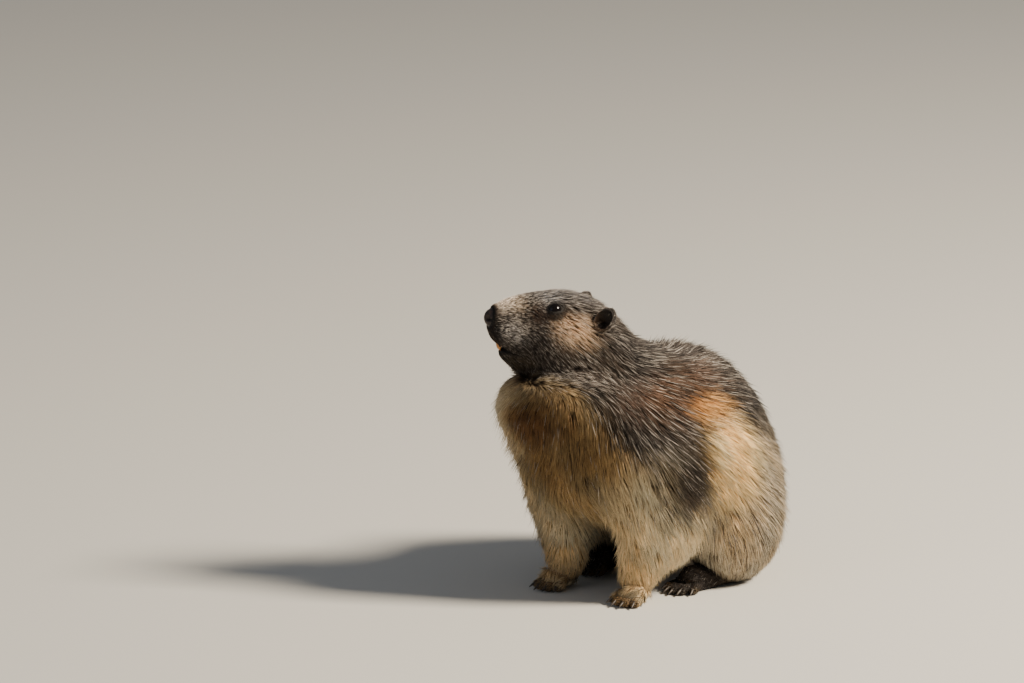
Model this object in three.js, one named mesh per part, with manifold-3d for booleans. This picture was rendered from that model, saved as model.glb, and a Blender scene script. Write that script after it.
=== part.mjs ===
import * as THREE from "three";
import { mergeVertices } from "three/addons/utils/BufferGeometryUtils.js";
import Module from "manifold-3d";

// An alpine marmot, life size, sitting drawn up on all four feet with its head turned to its right.
// Millimetres, +Z up. The animal faces -Y, its left side is +X, and its soles are flat at Z 0.
// The body is one rounded surface, the outside of the coat, described by the distance functions below.
// Each part is cut from it with a thin gap.

const wasm = await Module();
wasm.setup();
const { Manifold } = wasm;

// Driving dimensions
const gap = 0.3; // between neighbouring parts
const neckTilt = THREE.MathUtils.degToRad(29.7);
const throatUp = -48;
const noseTip = [-68, -148, 229];
const headTurn = THREE.MathUtils.degToRad(35); // to the animal's right
const headRaise = THREE.MathUtils.degToRad(10);
const eyeRadius = 6.3;
const eyeBack = 48; // behind the nose tip
const eyeUp = 18.5;
const earBack = 86.5;
const earUp = 13.5;
const earRadii = [7.6, 6, 10.2]; // across, through and up the ear
const noseRadii = [7.6, 8.6, 8.4];
const hemHeight = 3; // the coat hangs down to this height
const coatDrop = 8; // the core under the locks lies this far inside the tips
const tailRadius = 20;
const lock = { length: 47, width: 24, thickness: 6, spacing: 24 };
const bodyCell = 16.5;
const headCell = 6.8;

const mix = (a, b, t) => a + (b - a) * t;
const clamp = (x, low, high) => Math.min(Math.max(x, low), high);
const smoothStep = (x, low, high) => {
  const t = clamp((x - low) / (high - low), 0, 1);
  return t * t * (3 - 2 * t);
};
const smoothMin = (a, b, k) => Math.min(a, b) - Math.max(k - Math.abs(a - b), 0) ** 2 / (4 * k);
const dot = (a, b) => a[0] * b[0] + a[1] * b[1] + a[2] * b[2];
const minus = (a, b) => [a[0] - b[0], a[1] - b[1], a[2] - b[2]];
const along = (a, b, s) => [a[0] + b[0] * s, a[1] + b[1] * s, a[2] + b[2] * s];
const unit = (a) => along([0, 0, 0], a, 1 / (Math.hypot(...a) || 1));
const turned = (v) => v.map((n) => -n);
const cross = (a, b) => [
  a[1] * b[2] - a[2] * b[1],
  a[2] * b[0] - a[0] * b[2],
  a[0] * b[1] - a[1] * b[0],
];

// Distance functions: negative inside, in mm.
function ellipsoid(p, centre, radii) {
  const q = minus(p, centre);
  const k0 = Math.hypot(q[0] / radii[0], q[1] / radii[1], q[2] / radii[2]);
  const k1 = Math.hypot(q[0] / radii[0] ** 2, q[1] / radii[1] ** 2, q[2] / radii[2] ** 2);
  return k1 > 1e-9 ? (k0 * (k0 - 1)) / k1 : -Math.min(...radii);
}

// A limb from a to b with a round end at each.
function limb(p, a, b, radiusA, radiusB) {
  const axis = minus(b, a);
  const t = clamp(dot(minus(p, a), axis) / dot(axis, axis), 0, 1);
  return Math.hypot(...minus(p, along(a, axis, t))) - mix(radiusA, radiusB, t);
}

// Sizes between the rows of a table, along a smooth curve through them
function between(rows, station) {
  const s = clamp(station, rows[0][0], rows[rows.length - 1][0]);
  const i = Math.max(1, rows.findIndex((row) => row[0] >= s));
  const span = rows[i][0] - rows[i - 1][0];
  const t = (s - rows[i - 1][0]) / span;
  const rate = (k, n) => {
    const [before, after] = [rows[Math.max(k - 1, 0)], rows[Math.min(k + 1, rows.length - 1)]];
    return ((after[n] - before[n]) / (after[0] - before[0])) * span;
  };
  return [1, 2, 3].map(
    (n) =>
      (2 * t ** 3 - 3 * t ** 2 + 1) * rows[i - 1][n] +
      (t ** 3 - 2 * t ** 2 + t) * rate(i - 1, n) +
      (3 * t ** 2 - 2 * t ** 3) * rows[i][n] +
      (t ** 3 - t ** 2) * rate(i, n),
  );
}

// A rounded body with an oval section at each station: rows of [station, half width, top, bottom],
// and a round end of its own length at the front and at the back.
function roundedBody(x, station, z, rows, ends) {
  const [halfWidth, top, bottom] = between(rows, station);
  const end = ends[station < rows[0][0] ? 0 : 1];
  const beyond = Math.max(rows[0][0] - station, station - rows[rows.length - 1][0], 0);
  return ellipsoid([x, beyond, z], [0, 0, (top + bottom) / 2], [halfWidth, end, (top - bottom) / 2]);
}

// The head has a frame of its own: back from the nose tip, to its left, and up.
const headForward = [
  -Math.sin(headTurn) * Math.cos(headRaise),
  -Math.cos(headTurn) * Math.cos(headRaise),
  Math.sin(headRaise),
];
const headLeft = [Math.cos(headTurn), -Math.sin(headTurn), 0];
const headUp = cross(headForward, headLeft);
const headPoint = (back, left, up) =>
  along(along(along(noseTip, headForward, -back), headLeft, left), headUp, up);
const toHead = (p) => {
  const q = minus(p, noseTip);
  return [-dot(q, headForward), dot(q, headLeft), dot(q, headUp)];
};

// Sections of the head from the nose back
const skull = [
  [7, 12, 13, -12],
  [14, 15.5, 18, -19],
  [26, 20, 23, -35],
  [40, 26, 27, -37],
  [58, 32, 31, -37],
  [76, 37, 30.5, -38],
  [92, 41, 25, -40],
  [110, 42, 13.5, -42],
];

function headField(p) {
  const [back, left, up] = toHead(p);
  const q = [Math.abs(left), back, up];
  let d = roundedBody(left, back, up, skull, [6, 6]);
  d = smoothMin(d, ellipsoid(q, [8, 17, -9.5], [10, 11, 11]), 6); // whisker pad
  d = smoothMin(d, ellipsoid(q, [0, 27, -25], [11.5, 12, 9.5]), 6); // chin
  d = smoothMin(d, ellipsoid(q, [22, 64, -12], [15, 25, 22]), 12); // cheek
  d = smoothMin(d, ellipsoid(q, [17, 48, 14.5], [9, 14, 8]), 7); // brow
  return d;
}

// Sections of the trunk from front to back
const trunk = [
  [-90, 76, 162, 62],
  [-58, 80, 179, 45],
  [-18, 90, 185, 30],
  [18, 89, 195, 18],
  [46, 77, 180, 12],
  [68, 68, 151, 12],
  [86, 55, 119, 15],
  [98, 40, 92, 19],
];
const neckBase = [-2, -55, 152];
const neckTop = headPoint(84, 0, -8);
const tailPath = [
  [2, 88, 40],
  [-14, 121, 27],
  [-44, 136, 21],
  [-78, 132, 20],
  [-105, 111, 19],
  [-122, 82, 15],
];

function bodyField(p) {
  const q = [Math.abs(p[0]), p[1], p[2]];
  let d = roundedBody(p[0], p[1], p[2], trunk, [48, 13]);
  d = smoothMin(d, ellipsoid(q, [57, 16, 55], [41, 48, 55]), 24); // thigh
  d = smoothMin(d, ellipsoid(q, [46, -58, 96], [40, 44, 58]), 24); // shoulder
  d = smoothMin(d, ellipsoid(q, [48, -56, 47], [22, 26, 25]), 12); // elbow
  d = smoothMin(d, limb(q, [46, -74, 66], [37, -84, 22], 32, 18), 16); // foreleg
  d = smoothMin(d, ellipsoid(p, [-24, -102, 154], [58, 55, 38]), 30); // chest
  d = smoothMin(d, limb(p, neckBase, neckTop, 62, 27), 26);
  return d;
}

function tailField(p) {
  const last = tailPath.length - 1;
  const swell = (n) => tailRadius * (n === last ? 0.6 : 0.85 + 0.15 * Math.sin((Math.PI * n) / last));
  return tailPath
    .slice(0, last)
    .map((a, i) => limb(p, a, tailPath[i + 1], swell(i), swell(i + 1)))
    .reduce((a, b) => smoothMin(a, b, 6));
}

// Outside of the whole coat, out to its tips
const coat = (p) => smoothMin(smoothMin(bodyField(p), headField(p), 14), tailField(p), 14);

// How far p lies outside the head's share: behind a plane across the back of the skull, or below the throat
const pastHead = (p) => {
  const [back, , up] = toHead(p);
  const behind = Math.cos(neckTilt) * (back - 100) - Math.sin(neckTilt) * (up - 24);
  return Math.max(behind, throatUp - up);
};
// The coat gives way to locks behind the head and above the feet.
const lockShare = (p) => smoothStep(pastHead(p), 0, 20) * smoothStep(p[2], 4, 36);
const core = (p) => coat(p) + coatDrop * lockShare(p);

function slope(field, p) {
  const e = 0.5;
  return [0, 1, 2].map((i) => {
    const step = [0, 0, 0];
    step[i] = e;
    return (field(along(p, step, 1)) - field(along(p, step, -1))) / (2 * e);
  });
}

// Draws p onto the surface where the field has this level.
function onto(field, p, level, most) {
  let q = p;
  for (let i = 0; i < 4; i++) {
    const g = slope(field, q);
    const reach = (level - field(q)) / Math.max(Math.hypot(...g), 0.2);
    q = along(q, unit(g), clamp(reach, -most, most));
  }
  return q;
}

// A closed surface round the inside of a field: one corner, drawn onto the surface, in each grid cell
// that it crosses.
function surfaceOf(field, low, high, cell) {
  const n = low.map((x, i) => Math.ceil((high[i] - x) / cell) + 1);
  const stride = [1, n[0], n[0] * n[1]];
  const value = new Float64Array(n[0] * n[1] * n[2]);
  const point = (i, j, k) => [low[0] + i * cell, low[1] + j * cell, low[2] + k * cell];
  const each = (most, visit) => {
    for (let k = 0; k < n[2] - most; k++)
      for (let j = 0; j < n[1] - most; j++)
        for (let i = 0; i < n[0] - most; i++) visit(i, j, k, i + j * stride[1] + k * stride[2]);
  };
  each(0, (i, j, k, at) => {
    value[at] = field(point(i, j, k));
  });
  const corners = [];
  const cornerAt = new Map();
  each(1, (i, j, k, at) => {
    const sum = [0, 0, 0];
    let count = 0;
    for (let axis = 0; axis < 3; axis++) {
      for (const [u, v] of [[0, 0], [1, 0], [0, 1], [1, 1]]) {
        const start = [0, 0, 0];
        start[(axis + 1) % 3] = u;
        start[(axis + 2) % 3] = v;
        const a = value[at + dot(start, stride)];
        const b = value[at + dot(start, stride) + stride[axis]];
        if (a < 0 === b < 0) continue;
        start[axis] = a / (a - b);
        for (let m = 0; m < 3; m++) sum[m] += start[m];
        count++;
      }
    }
    if (!count) return;
    cornerAt.set(at, corners.length / 3);
    const middle = point(i + sum[0] / count, j + sum[1] / count, k + sum[2] / count);
    corners.push(...onto(field, middle, 0, cell / 8));
  });
  const faces = [];
  each(1, (i, j, k, at) => {
    const place = [i, j, k];
    for (let axis = 0; axis < 3; axis++) {
      const [u, v] = [(axis + 1) % 3, (axis + 2) % 3];
      const inside = value[at] < 0;
      if (inside === value[at + stride[axis]] < 0 || !place[u] || !place[v]) continue;
      const cells = [at, at - stride[u], at - stride[u] - stride[v], at - stride[v]];
      const quad = cells.map((cell) => cornerAt.get(cell));
      if (!inside) quad.reverse();
      const corner = (c) => corners.slice(c * 3, c * 3 + 3);
      const across = (m, n) => Math.hypot(...minus(corner(quad[m]), corner(quad[n])));
      if (across(0, 2) > across(1, 3)) quad.push(quad.shift());
      faces.push(quad[0], quad[1], quad[2], quad[0], quad[2], quad[3]);
    }
  });
  const geometry = new THREE.BufferGeometry();
  geometry.setAttribute("position", new THREE.Float32BufferAttribute(corners, 3));
  geometry.setIndex(faces);
  return geometry;
}

// Solids, for joining and cutting
function solidOf(geometry, matrix) {
  const bare = geometry.clone();
  bare.deleteAttribute("normal");
  bare.deleteAttribute("uv");
  if (matrix) bare.applyMatrix4(matrix);
  const merged = mergeVertices(bare, 1e-4);
  return new Manifold(
    new wasm.Mesh({
      numProp: 3,
      vertProperties: new Float32Array(merged.attributes.position.array),
      triVerts: new Uint32Array(merged.index.array),
    }),
  );
}
const joined = (solids) => solids.reduce((a, b) => a.add(b));
const largest = (solid) => solid.decompose().reduce((a, b) => (b.volume() > a.volume() ? b : a));
const geometryOf = (solid) => {
  const mesh = solid.getMesh();
  const geometry = new THREE.BufferGeometry();
  const positions = new Float32Array(mesh.numVert * 3);
  for (let i = 0; i < mesh.numVert; i++)
    for (let m = 0; m < 3; m++) positions[i * 3 + m] = mesh.vertProperties[i * mesh.numProp + m];
  geometry.setAttribute("position", new THREE.BufferAttribute(positions, 3));
  geometry.setIndex(new THREE.BufferAttribute(new Uint32Array(mesh.triVerts), 1));
  return geometry;
};

const moved = (place) => new THREE.Matrix4().makeTranslation(...place);
const vector = (v) => new THREE.Vector3(...v);
const basis = (x, y, z) => new THREE.Matrix4().makeBasis(vector(x), vector(y), vector(z));
const scaled = (size) => new THREE.Matrix4().makeScale(...size);
const placed = (geometry, ...steps) => solidOf(geometry, steps.reduce((a, b) => a.multiply(b)));
const ball = (centre, radii, frame = new THREE.Matrix4(), around = 12, rings = 8) =>
  placed(new THREE.SphereGeometry(1, around, rings), moved(centre), frame, scaled(radii));

// A round-ended rod from a to b
function rod(a, b, radiusA, radiusB, around = 6, rings = 4) {
  const geometry = new THREE.SphereGeometry(1, around, rings);
  const position = geometry.attributes.position;
  const length = Math.hypot(...minus(b, a));
  for (let i = 0; i < position.count; i++) {
    const far = position.getY(i) > 1e-6;
    const radius = far ? radiusB : radiusA;
    position.setXYZ(
      i,
      position.getX(i) * radius,
      position.getY(i) * radius + (far ? length : 0),
      position.getZ(i) * radius,
    );
  }
  const turn = new THREE.Quaternion().setFromUnitVectors(vector([0, 1, 0]), vector(unit(minus(b, a))));
  return placed(geometry, moved(a), new THREE.Matrix4().makeRotationFromQuaternion(turn));
}

function claw(root, tip, radius) {
  const geometry = new THREE.ConeGeometry(radius, Math.hypot(...minus(tip, root)), 4, 1);
  const turn = new THREE.Quaternion().setFromUnitVectors(vector([0, 1, 0]), vector(unit(minus(tip, root))));
  const middle = along(along([0, 0, 0], root, 0.5), tip, 0.5);
  return placed(geometry, moved(middle), new THREE.Matrix4().makeRotationFromQuaternion(turn));
}

// A point on the side of the head, and the way out from it
function onSideOfHead(back, up, side) {
  let [inside, outside] = [0, 70];
  for (let i = 0; i < 20; i++) {
    const middle = (inside + outside) / 2;
    if (coat(headPoint(back, side * middle, up)) < 0) inside = middle;
    else outside = middle;
  }
  const at = headPoint(back, side * inside, up);
  return { at, out: unit(slope(coat, at)) };
}
const headFrame = basis(headLeft, along([0, 0, 0], headForward, -1), headUp);
const headBall = (back, left, up, radii, around, rings) =>
  ball(headPoint(back, left, up), radii, headFrame, around, rings);

// Eyes, with lids that lie on the eyeball round an almond-shaped opening
function eyeAt(side) {
  const { at, out } = onSideOfHead(eyeBack, eyeUp, side);
  const centre = along(at, out, 2.9 - eyeRadius);
  const up = unit(along(headUp, out, -dot(headUp, out)));
  const frame = basis(cross(up, out), up, out);
  const lids = new THREE.TorusGeometry(1, 0.27, 4, 12);
  const position = lids.attributes.position;
  for (let i = 0; i < position.count; i++) {
    const [x, y] = [position.getX(i) * 6.1, position.getY(i) * 4.5];
    const rise = Math.sqrt(Math.max((eyeRadius + 0.1) ** 2 - x * x - y * y, 0));
    position.setXYZ(i, x, y, position.getZ(i) * 5 + rise);
  }
  return {
    ball: (grow) => ball(centre, [1, 1, 1].map((n) => n * (eyeRadius + grow)), frame),
    lids: placed(lids, moved(centre), frame),
  };
}

// Ears: a cup open to the front and the side, its lower half sunk in the coat
function earAt(side) {
  const { at } = onSideOfHead(earBack, earUp, side);
  const inHead = (left, back, up) =>
    along(along(along([0, 0, 0], headLeft, left * side), headForward, -back), headUp, up);
  const out = unit(inHead(0.78, -0.58, 0.2));
  const lean = inHead(0.25, 0.4, 0.9);
  const up = unit(along(lean, out, -dot(lean, out)));
  const frame = basis(cross(up, out), up, out);
  const [across, through, tall] = earRadii;
  const centre = along(along(at, headLeft, side * 1.5), up, 3);
  const whole = (grow) => ball(centre, [across + grow, tall + grow, through + grow], frame, 10, 7);
  const bowlRadii = [across - 2, tall - 2.2, through - 0.4];
  const bowl = ball(along(along(centre, out, 3.4), up, -0.6), bowlRadii, frame, 10, 7);
  const canal = ball(along(centre, up, -3.5), [2.8, 3.6, 4.4], frame, 6, 5);
  return { whole, cup: whole(0).subtract(bowl).subtract(canal) };
}

// Nose pad, nostrils and the groove below them
const nosePad = (grow) => headBall(6.8, 0, 1, noseRadii.map((n) => n + grow));
const nostrils = [-1, 1].flatMap((side) => [
  rod(headPoint(-3, side * 2.9, 0), headPoint(3.5, side * 4.6, 0.6), 1.5, 1.2),
  rod(headPoint(-1, side * 4.4, 1), headPoint(3, side * 8, -2.6), 0.8, 0.8),
]);
const noseGroove = rod(headPoint(-1.4, 0, -2.5), headPoint(0.6, 0, -9), 0.7, 0.7);

// The mouth: an open slit at the front, and a line back along each cheek to a corner that turns down
const mouthGap = headBall(14, 0, -22, [13, 9, 1.8], 10, 6);
const mouthLine = [-1, 1].flatMap((side) => {
  const points = [[17, -22], [27, -23.2], [35, -25.2], [41, -29]];
  const path = points.map(([back, up]) => onSideOfHead(back, up, side).at);
  return path.slice(1).map((b, i) => rod(path[i], b, 1.5 - i * 0.2, 1.3 - i * 0.2, 5, 4));
});
const incisors = (back, lean, root, edge, radius) => (grow) =>
  joined([-1, 1].map((side) =>
    rod(headPoint(back + lean, side * radius * 0.86, root), headPoint(back, side * radius * 0.86, edge),
      radius + grow, radius * 0.85 + grow),
  ));
const upperIncisors = incisors(13.4, -0.6, -13, -22.6, 2.1);
const lowerIncisors = incisors(19.6, 4.6, -30, -23.2, 1.8);

// Feet: a furred sole, toes side by side, and a horn claw sunk in each toe
function foot(side, grow, wrist, heel, palm, width, toes, toeRadius) {
  const at = ([x, y, z]) => [x * side, y, z];
  const pieces = [
    rod(at(wrist), at(heel), width * 0.85 + grow, width * 0.8 + grow, 7, 4),
    rod(at(heel), at(palm), width * 0.8 + grow, width + grow, 8, 6),
  ];
  for (const [x, y] of toes) {
    const root = [palm[0] + (x - palm[0]) * 0.75, palm[1] - 4, 6];
    pieces.push(rod(at(root), at([x, y, toeRadius - 0.9]), toeRadius * 1.1 + grow, toeRadius + grow, 6, 3));
    const way = unit([x - root[0], y - root[1], 0]);
    const tip = along([x, y, 1.2], way, toeRadius + 4.5);
    pieces.push(claw(at([x, y, toeRadius]), at(tip), 2.4 + grow));
  }
  return joined(pieces).trimByPlane([0, 0, 1], 0);
}
const foreFoot = (side, grow) =>
  foot(side, grow, [37, -80, 25], [38, -83, 11], [40, -91, 9], 11.5,
    [[30, -103], [36.6, -107], [43.8, -107], [50.4, -102.5]], 4.6);
const hindFoot = (side, grow) =>
  foot(side, grow, [57, 24, 26], [57, 30, 9], [50, -28, 9], 12,
    [[36.5, -41], [42, -46], [48, -48], [54, -46], [60, -39]], 4.3);

// The lie of the coat: back from the nose, back along the trunk and down its sides, along the tail
function lieOfCoat(p) {
  const headShare = 1 - smoothStep(pastHead(p), -10, 50);
  const headWay = along([0, 0, -0.7], headForward, -1);
  let way = along(along([0, 0, 0], [0, 0.75, -1], 1 - headShare), headWay, headShare);
  if (tailField(p) < bodyField(p)) {
    const reach = tailPath.slice(1).map((b, i) => limb(p, tailPath[i], b, 1, 1));
    const near = reach.indexOf(Math.min(...reach));
    way = minus(tailPath[near + 1], tailPath[near]);
  }
  const out = unit(slope(coat, p));
  return unit(along(way, out, -dot(way, out)));
}

// A flat lock of hair: a three-sided cone, ridge outward, bent along the lie of the coat, from under the
// core out to the tips
const lockSteps = 3;
function lockOf(root, length, width) {
  const rings = [];
  let p = onto(core, root, -lock.thickness, 6);
  for (let i = 0; i <= lockSteps; i++) {
    const s = i / lockSteps;
    const out = unit(slope(coat, p));
    const way = lieOfCoat(p);
    rings.push({ p, out, across: unit(cross(way, out)) });
    const next = along(p, way, length / lockSteps);
    p = onto(coat, next, -coatDrop * lockShare(next) * 0.95 * (1 - s) ** 1.2, 5);
    p[2] = Math.max(p[2], hemHeight + 1.5);
  }
  // No lock where the coat turns so sharply that one would fold over itself
  const folded = rings.slice(1).some((ring, i) => dot(ring.across, rings[i].across) < 0.45);
  if (folded) return null;
  const geometry = new THREE.ConeGeometry(1, 1, 3, lockSteps);
  const position = geometry.attributes.position;
  for (let i = 0; i < position.count; i++) {
    const s = clamp(position.getY(i) + 0.5, 0, 1);
    const { p: middle, out, across } = rings[Math.round(s * lockSteps)];
    const reach = Math.hypot(position.getX(i), position.getZ(i)) > 1e-6 ? 0.5 : 0;
    const angle = Math.atan2(position.getX(i), position.getZ(i));
    const wide = Math.sin(angle) * reach * width * (0.95 + 0.8 * s - 1.3 * s * s);
    const thick = Math.cos(angle) * reach * lock.thickness * (1 - 0.5 * s);
    position.setXYZ(i, ...along(along(middle, across, wide), out, thick));
  }
  return solidOf(geometry);
}

// The same draws on every run
function drawsFrom(seed) {
  let state = seed;
  return () => {
    state = (state * 1664525 + 1013904223) % 4294967296;
    return state / 4294967296;
  };
}

function locksOver(geometry, wanted, seed) {
  const draw = drawsFrom(seed);
  const position = geometry.attributes.position;
  const order = Array.from({ length: position.count }, (_, i) => [draw(), i]).sort((a, b) => a[0] - b[0]);
  const roots = [];
  for (const [, i] of order) {
    const p = [position.getX(i), position.getY(i), position.getZ(i)];
    if (wanted(p) && !roots.some((q) => Math.hypot(...minus(p, q)) < lock.spacing)) roots.push(p);
  }
  return roots
    .map((p) => lockOf(p, lock.length * (0.85 + 0.3 * draw()), lock.width * (0.85 + 0.3 * draw())))
    .filter((solid) => solid && solid.volume() > 0);
}

// The whole coated body behind the head, with its locks
const bodyGeometry = surfaceOf(core, [-161, -175, -20], [124, 172, 276], bodyCell);
const lockRoots = (p) => pastHead(p) > 7 && p[2] > 22;
const locks = locksOver(bodyGeometry, lockRoots, 7);
const body = largest(joined([solidOf(bodyGeometry), ...locks])).trimByPlane([0, 0, 1], hemHeight);

// The head, finer, with its features
const headOnly = (p) => Math.max(core(p), pastHead(p) - 6);
const headSolid = solidOf(surfaceOf(headOnly, [-125, -178, 158], [62, -6, 272], headCell));
const eyes = [1, -1].map(eyeAt);
const ears = [1, -1].map(earAt);
const carved = [
  ...eyes.map((eye) => eye.ball(gap)),
  ...ears.map((ear) => ear.whole(gap)),
  nosePad(gap),
  upperIncisors(gap),
  lowerIncisors(gap),
  mouthGap,
  ...mouthLine,
];

// The head's share of the body: a wedge seen from the side, with its corner under the jaw
function headRegion(grow) {
  const slant = Math.tan(neckTilt);
  const backAt = (up) => 100 + grow / Math.cos(neckTilt) + slant * (up - 24);
  const low = throatUp - grow;
  const outline = new THREE.Shape([
    [-60, low], [backAt(low), low], [backAt(80), 80], [-60, 80],
  ].map(([back, up]) => new THREE.Vector2(back, up)));
  const geometry = new THREE.ExtrudeGeometry(outline, { depth: 200, bevelEnabled: false });
  const backward = along([0, 0, 0], headForward, -1);
  return placed(geometry, moved(headPoint(0, -100, 0)), basis(backward, headUp, headLeft));
}
const torsoFacing = unit([0, 0.566, -0.825]);
const torsoAt = dot(torsoFacing, [0, -48, 188]);

// Each leg is everything inside an arch seen from the side, outward from near the middle line.
function legRegion(arch, inner) {
  const middle = arch.reduce((sum, [y, z]) => [sum[0] + y / arch.length, sum[1] + z / arch.length], [0, 0]);
  return (side, grow) => {
    const corners = arch.map(([y, z]) => {
      const [dy, dz] = [y - middle[0], z - middle[1]];
      const more = 1 + (grow * 1.2) / Math.hypot(dy, dz);
      return new THREE.Vector2(middle[0] + dy * more, middle[1] + dz * more);
    });
    const depth = 110 + grow;
    const start = side > 0 ? inner - grow : -inner + grow - depth;
    const geometry = new THREE.ExtrudeGeometry(new THREE.Shape(corners), { depth, bevelEnabled: false });
    return placed(geometry, moved([start, 0, 0]), basis([0, 1, 0], [0, 0, 1], [1, 0, 0]));
  };
}
const foreArch = [[-150, -20], [-37.4, -20], [-37.4, 64], [-54, 90], [-88, 99], [-150, 78]];
const hindArch = [[-37, -20], [84, -20], [76, 46], [58, 80], [28, 98], [-8, 98], [-37, 66]];
const foreLegRegion = legRegion(foreArch, 9);
const hindLegRegion = legRegion(hindArch, 24);

// The tail is everything behind a line along the rump and the right haunch.
function tailRegion(back) {
  const outline = new THREE.Shape([
    [60, 106], [-30, 108], [-70, 104], [-94, 84], [-106, 56], [-190, 20], [-190, 200], [60, 200],
  ].map(([x, y]) => new THREE.Vector2(x - back * 0.7, y + back)));
  return placed(new THREE.ExtrudeGeometry(outline, { depth: 90, bevelEnabled: false }), moved([0, 0, -5]));
}

const headAndEars = [headRegion(gap), ...ears.map((ear) => ear.whole(gap))];
const behindHead = headAndEars.reduce((a, b) => a.subtract(b), body);
const feet = [1, -1].flatMap((side) => [foreFoot(side, gap), hindFoot(side, gap)]);
const withoutFeet = (solid) => feet.reduce((a, b) => a.subtract(b), solid);
const legs = [1, -1].flatMap((side) => [foreLegRegion(side, gap), hindLegRegion(side, gap)]);
const torso = [tailRegion(0), ...legs].reduce(
  (a, b) => a.subtract(b),
  behindHead.trimByPlane(torsoFacing, torsoAt + gap / 2),
);
const legOf = (region, side) => {
  const inside = region(side, 0).intersect(behindHead.trimByPlane(torsoFacing, torsoAt + gap / 2));
  return withoutFeet(inside.subtract(tailRegion(0)));
};

const part = new THREE.Group();
function add(name, solid, color, roughness) {
  const material = new THREE.MeshStandardMaterial({ color, roughness, metalness: 0 });
  const mesh = new THREE.Mesh(geometryOf(largest(solid)), material);
  mesh.name = name;
  part.add(mesh);
}

const headWithLids = joined([headSolid, ...eyes.map((eye) => eye.lids)]);
add("head", carved.reduce((a, b) => a.subtract(b), headWithLids).intersect(headRegion(0)), 0x6e6053, 0.9);
add("neck", behindHead.trimByPlane(turned(torsoFacing), gap / 2 - torsoAt), 0x5f5247, 0.9);
add("torso", withoutFeet(torso), 0x7c6750, 0.9);
add("tail", body.intersect(tailRegion(gap)), 0x43382e, 0.9);
add("nose", [...nostrils, noseGroove].reduce((a, b) => a.subtract(b), nosePad(0)), 0x2b211d, 0.6);
add("upper_incisors", upperIncisors(0), 0xb9772f, 0.4);
add("lower_incisors", lowerIncisors(0), 0xb9772f, 0.4);
for (const [i, side] of [[0, 1], [1, -1]]) {
  const name = side > 0 ? "left" : "right";
  add("ear_" + name, ears[i].cup, 0x57483c, 0.9);
  add("eye_" + name, eyes[i].ball(0), 0x0d0b0b, 0.1);
  add("front_" + name + "_leg", legOf(foreLegRegion, side), 0xb19160, 0.9);
  add("hind_" + name + "_leg", legOf(hindLegRegion, side), 0xb59b6d, 0.9);
  add("front_" + name + "_paw", foreFoot(side, 0), 0xa88b63, 0.9);
  add("hind_" + name + "_foot", hindFoot(side, 0), 0x2c2623, 0.9);
}

// The origin goes on the floor, under the middle of the animal.
const box = new THREE.Box3().setFromObject(part);
part.position.set(-(box.min.x + box.max.x) / 2, -(box.min.y + box.max.y) / 2, -box.min.z);

export default part;
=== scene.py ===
import math

import bmesh
import bpy
import numpy as np
from mathutils import Matrix, Vector, kdtree


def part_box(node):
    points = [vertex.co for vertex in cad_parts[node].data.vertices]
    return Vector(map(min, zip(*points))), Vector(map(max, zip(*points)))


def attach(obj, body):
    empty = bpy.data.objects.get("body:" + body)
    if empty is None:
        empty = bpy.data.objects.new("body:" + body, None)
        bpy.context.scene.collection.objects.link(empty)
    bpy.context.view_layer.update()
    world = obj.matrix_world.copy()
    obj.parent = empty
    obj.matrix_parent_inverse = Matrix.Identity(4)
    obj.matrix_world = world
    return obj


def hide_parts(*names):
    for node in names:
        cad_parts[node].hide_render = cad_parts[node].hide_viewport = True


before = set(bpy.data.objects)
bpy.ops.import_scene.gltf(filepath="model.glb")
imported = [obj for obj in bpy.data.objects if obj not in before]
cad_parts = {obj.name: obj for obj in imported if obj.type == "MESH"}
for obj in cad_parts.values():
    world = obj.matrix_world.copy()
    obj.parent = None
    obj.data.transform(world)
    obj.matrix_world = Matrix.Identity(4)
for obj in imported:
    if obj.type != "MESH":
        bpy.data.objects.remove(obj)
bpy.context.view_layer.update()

# An alpine marmot, sitting drawn up on all four feet. Shapes are worked out in the animal's own frame in
# millimetres: it faces -Y, its left is +X and the floor is Z 0. toScene turns them to metres, beside the
# solids. Left and right are mirror images but for the head, which is turned to the animal's right.

head = {
    "noseTip": (-68, -148, 229),
    "turn": math.radians(35),
    "raise": math.radians(10),
    "neckTilt": math.radians(29.7),  # of the plane that parts the head from the neck
    "neckAt": (100, 24),  # a point on that plane, back and up from the nose
    "throatUp": -48,
    "eyeBack": 48,
    "eyeUp": 18.5,
    "eyeRadius": 6.3,
    "eyeShows": 2.9,  # how far the ball stands out of the coat
    "earBack": 86.5,
    "earUp": 13.5,
    "earRadii": (7.6, 10.2, 6),  # across, up and through
    "skull": [  # sections back from the nose: station, half width, top, bottom
        (7, 12, 13, -12), (14, 15.5, 18, -19), (26, 20, 23, -35), (40, 26, 27, -37),
        (58, 32, 31, -37), (76, 37, 30.5, -38), (92, 41, 25, -40), (110, 42, 13.5, -42),
    ],
    "skullEnds": (6, 6),  # how far it bulges past the first and the last section
    "forms": [  # laid on the skull: centre at |left|, back, up, then radii and blend
        ((8, 17, -9.5), (10, 11, 11), 6),  # whisker pads
        ((0, 27, -25), (11.5, 12, 9.5), 6),  # chin
        ((22, 64, -12), (15, 25, 22), 12),  # cheeks
        ((17, 48, 14.5), (9, 14, 8), 7),  # brows
    ],
}
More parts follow.
